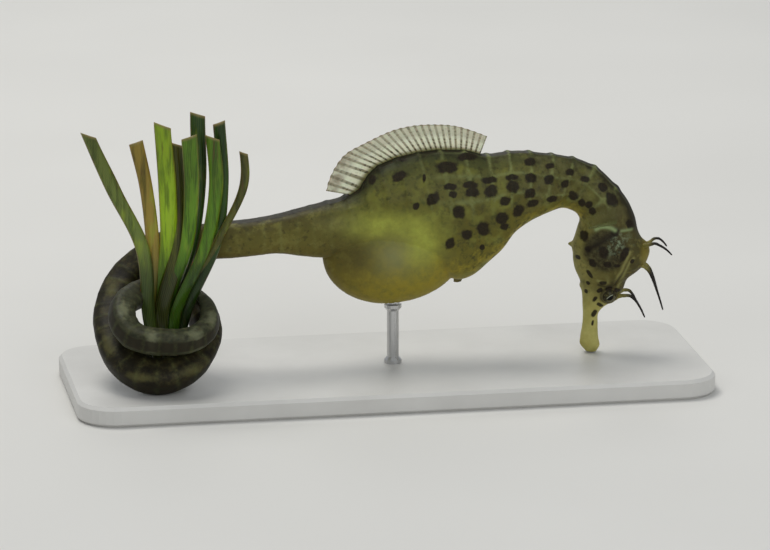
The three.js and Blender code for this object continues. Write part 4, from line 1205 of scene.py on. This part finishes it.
def skin_look():
    look = Look("seahorse_skin", Subsurface_Weight=0.08, Subsurface_Scale=0.001, Specular_IOR_Level=0.14,
                Coat_Weight=0.03, Coat_Roughness=0.3)
    broad, fine, grain = look.noise(190), look.noise(700, 4), look.noise(3000, 3)
    blotch = look.noise(330, 5, 0.7)

    def paint(colour, share, over):
        return look.blend(share, colour, over)

    def scaled(value, amount):
        return look.math("MULTIPLY", value, amount)

    wander = scaled(look.math("SUBTRACT", blotch, 0.5), 0.7)
    height = look.math("ADD", look.mask("belly"), wander)
    colour = look.ramp(
        height,
        (0.0, (0.075, 0.078, 0.022)), (0.22, (0.125, 0.122, 0.028)), (0.5, (0.105, 0.095, 0.018)),
        (0.78, (0.145, 0.125, 0.018)), (1.0, (0.36, 0.29, 0.03)),
    )
    colour = paint(colour, look.edge(fine, 0.48, 0.7), (0.055, 0.055, 0.014))
    colour = paint(colour, look.edge(broad, 0.5, 0.68), (0.17, 0.17, 0.032))
    colour = paint(colour, scaled(look.edge(look.noise(420, 4, 0.65), 0.54, 0.66), 0.55), (0.06, 0.055, 0.02))
    # The pouch: smooth, grey brown where it is thickest, with a painted yellow green highlight above and a yellow rim.
    pouch = look.ramp(height, (0.3, (0.14, 0.135, 0.03)), (0.75, (0.16, 0.145, 0.035)), (1.0, (0.28, 0.225, 0.025)))
    colour = paint(colour, scaled(look.mask("pouch"), 0.9), pouch)
    # Painted shade on the pouch's rear and the tail root's side.
    shade = look.ramp(fine, (0.3, (0.045, 0.035, 0.01)), (0.7, (0.08, 0.066, 0.018)))
    # Paler patches, the one on the pouch's middle a painted reflection.
    colour = paint(colour, scaled(look.mask("pale"), 0.75), (0.25, 0.25, 0.1))
    colour = paint(colour, scaled(look.mask("shade"), 0.75), shade)
    # Painted highlight in yellow green over the trunk's side and the pouch's front.
    painted_highlight = look.math("MULTIPLY", look.mask("painted_highlight"), look.ramp(blotch, (0.25, 0.5), (0.65, 1.0)))
    colour = paint(colour, painted_highlight, (0.4, 0.43, 0.07))
    # The tail: olive brown, darker round the plant and greyer on its last turn, with soft pale patches, two of them
    # painted highlights on the strand in front.
    tail = look.ramp(height, (0.0, (0.07, 0.06, 0.018)), (0.5, (0.135, 0.118, 0.024)), (1.0, (0.13, 0.1, 0.02)))
    tail = paint(tail, scaled(look.edge(blotch, 0.5, 0.64), 0.6), (0.2, 0.185, 0.045))
    tail = paint(tail, scaled(look.edge(fine, 0.52, 0.68), 0.6), (0.05, 0.042, 0.014))
    coil = look.ramp(blotch, (0.34, (0.008, 0.006, 0.003)), (0.5, (0.018, 0.015, 0.006)), (0.68, (0.055, 0.047, 0.017)))
    tail = paint(tail, look.mask("coil"), coil)
    strand = look.ramp(fine, (0.3, (0.022, 0.023, 0.012)), (0.7, (0.062, 0.064, 0.033)))
    tail = paint(tail, look.mask("tip"), strand)
    # Pale patches, with painted highlights on the strand in front.
    soft = look.edge(look.math("ADD", look.mask("patch_and_highlight"), scaled(look.math("SUBTRACT", fine, 0.5), 1.3)), -0.2, 0.9)
    pale = look.blend(look.mask("tip"), (0.12, 0.112, 0.038), (0.2, 0.21, 0.12))
    tail = paint(tail, scaled(soft, 0.62), pale)
    colour = paint(colour, look.mask("tail"), tail)
    # The head: mottled brown gill cover with a silvery green sheen, yellow olive front, throat and snout.
    head = look.ramp(height, (0.0, (0.065, 0.055, 0.016)), (0.45, (0.1, 0.085, 0.02)), (1.0, (0.29, 0.265, 0.075)))
    head = paint(head, look.edge(fine, 0.48, 0.7), (0.14, 0.125, 0.035))
    cover = look.ramp(look.noise(850, 5, 0.75), (0.4, (0.016, 0.011, 0.004)), (0.7, (0.105, 0.095, 0.038)))
    head = paint(head, scaled(look.mask("cover"), 0.92), cover)
    colour = paint(colour, look.mask("skull"), head)
    glint = look.edge(look.noise(650, 5, 0.75), 0.46, 0.64)
    colour = paint(colour, look.math("MULTIPLY", scaled(look.mask("sheen"), 0.95), glint), (0.27, 0.34, 0.2))
    colour = paint(colour, scaled(look.mask("front"), 0.75), (0.24, 0.19, 0.03))
    # Painted shade: a dark band in the dent over the gill cover and a dark line in the groove under its edge ridge.
    colour = paint(colour, scaled(look.mask("band"), 0.92), (0.016, 0.011, 0.005))
    colour = paint(colour, scaled(look.mask("ridge"), 0.8), (0.26, 0.245, 0.08))
    snout = look.ramp(look.math("ADD", broad, wander), (0.3, (0.37, 0.33, 0.09)), (0.7, (0.52, 0.48, 0.16)))
    colour = paint(colour, look.mask("snout"), snout)
    # A brown mottled neck, a dark line along the back, pale ring lines, then the dark spots over them.
    bark = look.ramp(look.noise(520, 5, 0.7), (0.4, (0.028, 0.02, 0.009)), (0.62, (0.13, 0.12, 0.06)))
    colour = paint(colour, scaled(look.mask("neck"), 0.36), bark)
    saddle = look.math("MULTIPLY", look.mask("saddle"), look.ramp(blotch, (0.38, 0.55), (0.55, 1.0)))
    colour = paint(colour, saddle, (0.022, 0.03, 0.01))
    crest = look.edge(look.math("ADD", look.mask("crest"), scaled(look.math("SUBTRACT", fine, 0.5), 0.8)), 0.2, 0.75)
    colour = paint(colour, scaled(crest, 0.9), (0.02, 0.016, 0.007))
    colour = paint(colour, scaled(look.mask("notch"), 0.9), (0.012, 0.01, 0.005))
    line = look.math("MULTIPLY", look.mask("line"), look.ramp(blotch, (0.4, 0.1), (0.6, 0.75)))
    colour = paint(colour, line, (0.21, 0.235, 0.08))
    lid = look.math("MULTIPLY", look.mask("lid"), look.ramp(fine, (0.35, 0.55), (0.6, 0.9)))
    colour = paint(colour, lid, (0.06, 0.05, 0.018))
    ragged = look.math("ADD", look.mask("spot"), scaled(look.math("SUBTRACT", look.noise(800, 3), 0.5), 0.75))
    dark = look.ramp(grain, (0.3, (0.006, 0.004, 0.002)), (0.7, (0.026, 0.017, 0.007)))
    colour = paint(colour, scaled(look.edge(ragged, -0.2, 0.26), 0.95), dark)
    colour = paint(colour, scaled(look.mask("fin_foot"), 0.85), (0.3, 0.39, 0.17))
    colour = paint(colour, look.mask("mouth"), (0.05, 0.02, 0.012))
    pores = look.math("ADD", scaled(grain, 0.6), scaled(look.cells(1500), 0.5))
    look.bump(pores, 0.3, 0.0001)
    return look.finish(colour, look.ramp(fine, (0.2, 0.45), (0.8, 0.62)))


def eye_look():
    look = Look("seahorse_eye", Coat_Weight=0.1, Coat_Roughness=0.05, Specular_IOR_Level=0.1)
    streak = look.noise(2200, 4)
    colour = look.blend(look.edge(streak, 0.42, 0.66), (0.035, 0.03, 0.01), (0.11, 0.098, 0.03))
    dash = look.math("MULTIPLY", look.edge(look.mask("dash"), 0.5, 0.8), look.edge(look.mask("iris"), 0.5, 0.62))
    colour = look.blend(look.math("MULTIPLY", dash, 0.6), colour, (0.012, 0.009, 0.004))
    border = look.math("MULTIPLY", look.edge(look.mask("iris"), 0.62, 0.86), 0.7)
    colour = look.blend(border, colour, (0.02, 0.016, 0.006))
    dusk = look.math("SUBTRACT", 1.0, look.edge(look.mask("pupil"), 1.4, 2.6))
    colour = look.blend(look.math("MULTIPLY", dusk, 0.7), colour, (0.035, 0.03, 0.013))
    ring = look.math("SUBTRACT", look.edge(look.mask("pupil"), 1.0, 1.12), look.edge(look.mask("pupil"), 1.22, 1.5))
    # Painted highlight: a pale strip along the upper side of the pupil's ring.
    highlight_strip = look.math("MULTIPLY", ring, look.edge(look.mask("over"), 0.1, 0.22))
    colour = look.blend(look.math("MULTIPLY", highlight_strip, 0.8), colour, (0.42, 0.45, 0.33))
    rim = look.math("MULTIPLY", ring, look.edge(look.mask("over"), 0.0, -0.1))
    colour = look.blend(look.math("MULTIPLY", rim, 0.5), colour, (0.3, 0.27, 0.09))
    colour = look.blend(look.edge(look.mask("pupil"), 1.1, 0.92), colour, (0.002, 0.002, 0.002))
    return look.finish(colour, look.ramp(streak, (0.3, 0.15), (0.7, 0.3)))


def filament_look():
    look = Look("seahorse_filament", Specular_IOR_Level=0.25)
    band = look.noise(1100, 3)
    root = look.ramp(band, (0.3, (0.17, 0.15, 0.035)), (0.7, (0.3, 0.26, 0.07)))
    tip = look.ramp(band, (0.3, (0.006, 0.005, 0.004)), (0.8, (0.022, 0.018, 0.012)))
    colour = look.blend(look.mask("out"), root, tip)
    look.bump(look.noise(3000, 3), 0.3, 0.0001)
    return look.finish(colour, look.ramp(band, (0.2, 0.45), (0.8, 0.62)))


def dorsal_fin_look():
    """Cream membrane between thin brown rays with rows of dark dashes near the foot, greyer towards the margin."""
    look = Look("dorsal_fin_membrane", Subsurface_Weight=0.1, Subsurface_Scale=0.0008, Specular_IOR_Level=0.2)
    ray, out, length = look.mask("ray"), look.mask("out"), look.mask("length")
    mottle, speck = look.noise(520, 3), look.noise(1500, 3)
    colour = look.ramp(
        out,
        (0.0, (0.06, 0.07, 0.022)), (0.09, (0.4, 0.4, 0.18)), (0.2, (1.0, 1.0, 0.72)), (0.5, (0.98, 1.0, 0.76)),
        (0.66, (0.72, 0.73, 0.54)), (0.94, (0.76, 0.77, 0.58)), (1.0, (0.22, 0.2, 0.11)),
    )
    colour = look.blend(look.math("MULTIPLY", look.edge(speck, 0.5, 0.7), 0.3), colour, (0.34, 0.32, 0.18))
    bone = look.edge(ray, 0.45, 0.92)
    tapered = look.math("MULTIPLY", bone, look.ramp(out, (0.1, 0.85), (0.45, 0.72), (0.6, 0.5), (1.0, 0.5)))
    colour = look.blend(tapered, colour, (0.17, 0.145, 0.05))
    wave = look.math("SINE", look.math("ADD", look.math("MULTIPLY", out, 40), look.math("MULTIPLY", mottle, 16)))
    wide = look.edge(ray, 0.5, 0.85)
    dash = look.math("MULTIPLY", look.math("MULTIPLY", look.edge(wave, 0.1, 0.6), wide), look.edge(mottle, 0.38, 0.52))
    strength = look.ramp(out, (0.08, 0.85), (0.34, 0.75), (0.5, 0.4), (0.9, 0.4))
    dash = look.math("MULTIPLY", dash, strength)
    colour = look.blend(dash, colour, (0.06, 0.045, 0.018))
    rear = look.math("MULTIPLY", look.edge(length, 0.34, 0.1), look.edge(out, 0.5, 0.8))
    blot = look.math("MULTIPLY", rear, look.edge(look.noise(300, 2), 0.42, 0.6))
    colour = look.blend(look.math("MULTIPLY", blot, 0.6), colour, (0.24, 0.2, 0.12))
    alpha = look.ramp(out, (0.0, 0.98), (0.2, 0.7), (0.5, 0.72), (0.7, 0.8), (1.0, 0.88))
    alpha = look.math("MAXIMUM", alpha, look.math("MAXIMUM", look.math("MULTIPLY", bone, 0.9), dash))
    look.bump(look.noise(2500, 2), 0.2, 0.00008)
    return look.finish(colour, look.ramp(mottle, (0.2, 0.4), (0.8, 0.6)), alpha)


def clear_fin_look(name, body, low, high):
    """Thin membrane on fine rays, mottled from low to high; body is how much of it shows between the rays."""
    look = Look(name, Specular_IOR_Level=0.1)
    mottle = look.noise(600, 3)
    colour = look.ramp(mottle, (0.3, low), (0.7, high))
    bone = look.math("MULTIPLY", look.edge(look.mask("ray"), 0.55, 0.95), body)
    alpha = look.math("ADD", look.ramp(mottle, (0.2, body), (0.8, body * 1.6)), bone)
    alpha = look.math("ADD", alpha, look.math("MULTIPLY", look.edge(look.mask("out"), 0.3, 0.0), 0.4))
    look.bump(look.noise(2500, 2), 0.15, 0.00006)
    return look.finish(colour, look.ramp(mottle, (0.2, 0.45), (0.8, 0.65)), alpha)


def plant_look():
    look = Look("plant", Subsurface_Weight=0.12, Subsurface_Scale=0.001, Coat_Weight=0.25, Coat_Roughness=0.2,
                Specular_IOR_Level=0.25)
    colour = look.ramp(
        look.mask("tone"),
        (0.1, (0.155, 0.205, 0.04)), (0.3, (0.36, 0.255, 0.04)), (0.5, (0.1, 0.1, 0.014)),
        (0.7, (0.33, 0.52, 0.012)), (0.85, (0.12, 0.27, 0.008)), (1.0, (0.024, 0.078, 0.006)),
    )
    long = look.noise(700, 4, 0.65, stretch=(1, 1, 0.05))
    colour = look.blend(look.edge(long, 0.42, 0.64), colour, (0.42, 0.46, 0.25), "MULTIPLY")
    light = look.noise(260, 3, stretch=(1, 1, 0.25))
    colour = look.blend(look.math("MULTIPLY", look.edge(light, 0.52, 0.7), 0.55), colour, (0.32, 0.42, 0.03))
    stain = look.edge(look.noise(900, 4, stretch=(1, 1, 0.08)), 0.58, 0.7)
    stain = look.math("MULTIPLY", stain, look.edge(look.noise(120, 3), 0.42, 0.58))
    colour = look.blend(look.math("MULTIPLY", stain, 0.65), colour, (0.1, 0.05, 0.01))
    margin = look.edge(look.math("ABSOLUTE", look.mask("edge")), 0.78, 0.97)
    colour = look.blend(look.math("MULTIPLY", margin, 0.35), colour, (0.2, 0.12, 0.02))
    # Duller towards the top, darker towards the foot with painted shade, and brown where a blade is cut.
    colour = look.blend(look.edge(look.mask("rise"), 0.6, 0.9), colour, (0.75, 0.72, 0.6), "MULTIPLY")
    # Painted shade over the lower blades and the crown.
    colour = look.blend(look.edge(look.mask("rise"), 0.56, 0.36), colour, (0.3, 0.36, 0.3), "MULTIPLY")
    colour = look.blend(look.math("MULTIPLY", look.edge(look.mask("rise"), 0.985, 1.0), 0.8), colour, (0.26, 0.2, 0.07))
    vein = look.math("SINE", look.math("MULTIPLY", look.mask("edge"), 26))
    colour = look.blend(look.math("MULTIPLY", look.edge(vein, 0.6, 0.98), 0.14), colour, (0.3, 0.38, 0.07))
    look.bump(look.math("ADD", long, look.math("MULTIPLY", vein, 0.3)), 0.35, 0.0001)
    return look.finish(colour, look.ramp(long, (0.3, 0.28), (0.7, 0.45)))


def plate_look():
    look = Look("stand_paint", Coat_Weight=0.05)
    speck = look.noise(2600, 3)
    colour = look.ramp(look.noise(60, 4), (0.3, (0.6, 0.59, 0.56)), (0.7, (0.66, 0.65, 0.62)))
    look.bump(speck, 0.25, 0.00006)
    return look.finish(colour, look.ramp(speck, (0.3, 0.42), (0.7, 0.55)))


def rod_look():
    look = Look("stand_steel", Metallic=1.0)
    brushed = look.noise(1500, 3, stretch=(1, 1, 0.05))
    look.bump(brushed, 0.2, 0.00004)
    colour = look.ramp(brushed, (0.3, (0.5, 0.5, 0.5)), (0.7, (0.66, 0.66, 0.66)))
    return look.finish(colour, look.ramp(brushed, (0.3, 0.24), (0.7, 0.38)))


def floor_look():
    look = Look("floor", Roughness=0.85)
    return look.finish(look.ramp(look.noise(8, 2), (0.3, (0.7, 0.69, 0.66)), (0.7, (0.73, 0.72, 0.69))))


def wear(piece, material):
    piece.data.materials.clear()
    piece.data.materials.append(material)


# ---------------------------------------------------------------- stage, light and camera


def build_stage():
    half = 4.0
    corners = [(-half, -half, 0), (half, -half, 0), (half, half, 0), (-half, half, 0)]
    mesh = bpy.data.meshes.new("floor")
    mesh.from_pydata(corners, [], [(0, 1, 2, 3)])
    floor = bpy.data.objects.new("floor", mesh)
    bpy.context.scene.collection.objects.link(floor)
    wear(floor, floor_look())


def area_light(name, place, target, size, power_watts, colour=(1, 1, 1)):
    light = bpy.data.lights.new(name, "AREA")
    light.shape, light.size = "DISK", size
    light.energy, light.color = power_watts, colour
    lamp = bpy.data.objects.new(name, light)
    bpy.context.scene.collection.objects.link(lamp)
    lamp.location = place
    lamp.rotation_euler = aimed(np.array(place, float) - np.array(target, float))


def aimed(back):
    return Vector(back.tolist()).to_track_quat("Z", "Y").to_euler()


def build_light():
    world = bpy.data.worlds.new("studio")
    bpy.context.scene.world = world
    world.use_nodes = True
    background = world.node_tree.nodes["Background"]
    background.inputs["Color"].default_value = (0.88, 0.92, 0.96, 1)
    background.inputs["Strength"].default_value = 0.42
    area_light("key", (-0.2, 0.25, 0.9), (0, 0, 0.03), 0.5, 4.2, (1, 0.98, 0.94))
    area_light("fill", (0.25, -0.85, 0.5), (0, 0, 0.03), 0.8, 2.2, (0.96, 0.98, 1))
    area_light("rim", (0.1, 0.7, 0.5), (0, 0, 0.04), 0.4, 0.7, (1, 1, 0.97))
    bpy.context.scene.view_settings.view_transform = "Standard"


def build_camera():
    camera = bpy.data.cameras.new("view")
    camera.sensor_width = SENSOR
    camera.lens = SENSOR * VIEW_DISTANCE / (FRAME_WIDTH * VIEW_MM_PER_PIXEL)
    camera.clip_start, camera.clip_end = 0.05, 20
    eye = bpy.data.objects.new("view", camera)
    bpy.context.scene.collection.objects.link(eye)
    eye.location = (VIEW_PLACE * MM).tolist()
    eye.rotation_euler = aimed(VIEW_BACK)
    bpy.context.scene.camera = eye


# ---------------------------------------------------------------- the whole model

skin = build_skin()
wear(skin, skin_look())

eye_material = eye_look()
for eye_side, eye_word in ((-1, "right"), (1, "left")):
    wear(build_eye(eye_side, eye_word), eye_material)

filament_material = filament_look()
for filament_name, filament_points in FILAMENTS.items():
    wear(build_filament(filament_name, filament_points), filament_material)

wear(build_dorsal_fin(), dorsal_fin_look())
pectoral_material = clear_fin_look("pectoral_fin_membrane", 0.04, (0.14, 0.16, 0.05), (0.22, 0.24, 0.09))
wear(build_pectoral_fin(1, "right"), pectoral_material)
wear(build_pectoral_fin(-1, "left"), pectoral_material)
wear(build_anal_fin(), clear_fin_look("anal_fin_membrane", 0.6, (0.09, 0.075, 0.015), (0.17, 0.14, 0.025)))

wear(build_plant(), plant_look())
wear(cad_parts["stand_base"], plate_look())
wear(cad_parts["stand_rod"], rod_look())

build_stage()
build_light()
build_camera()
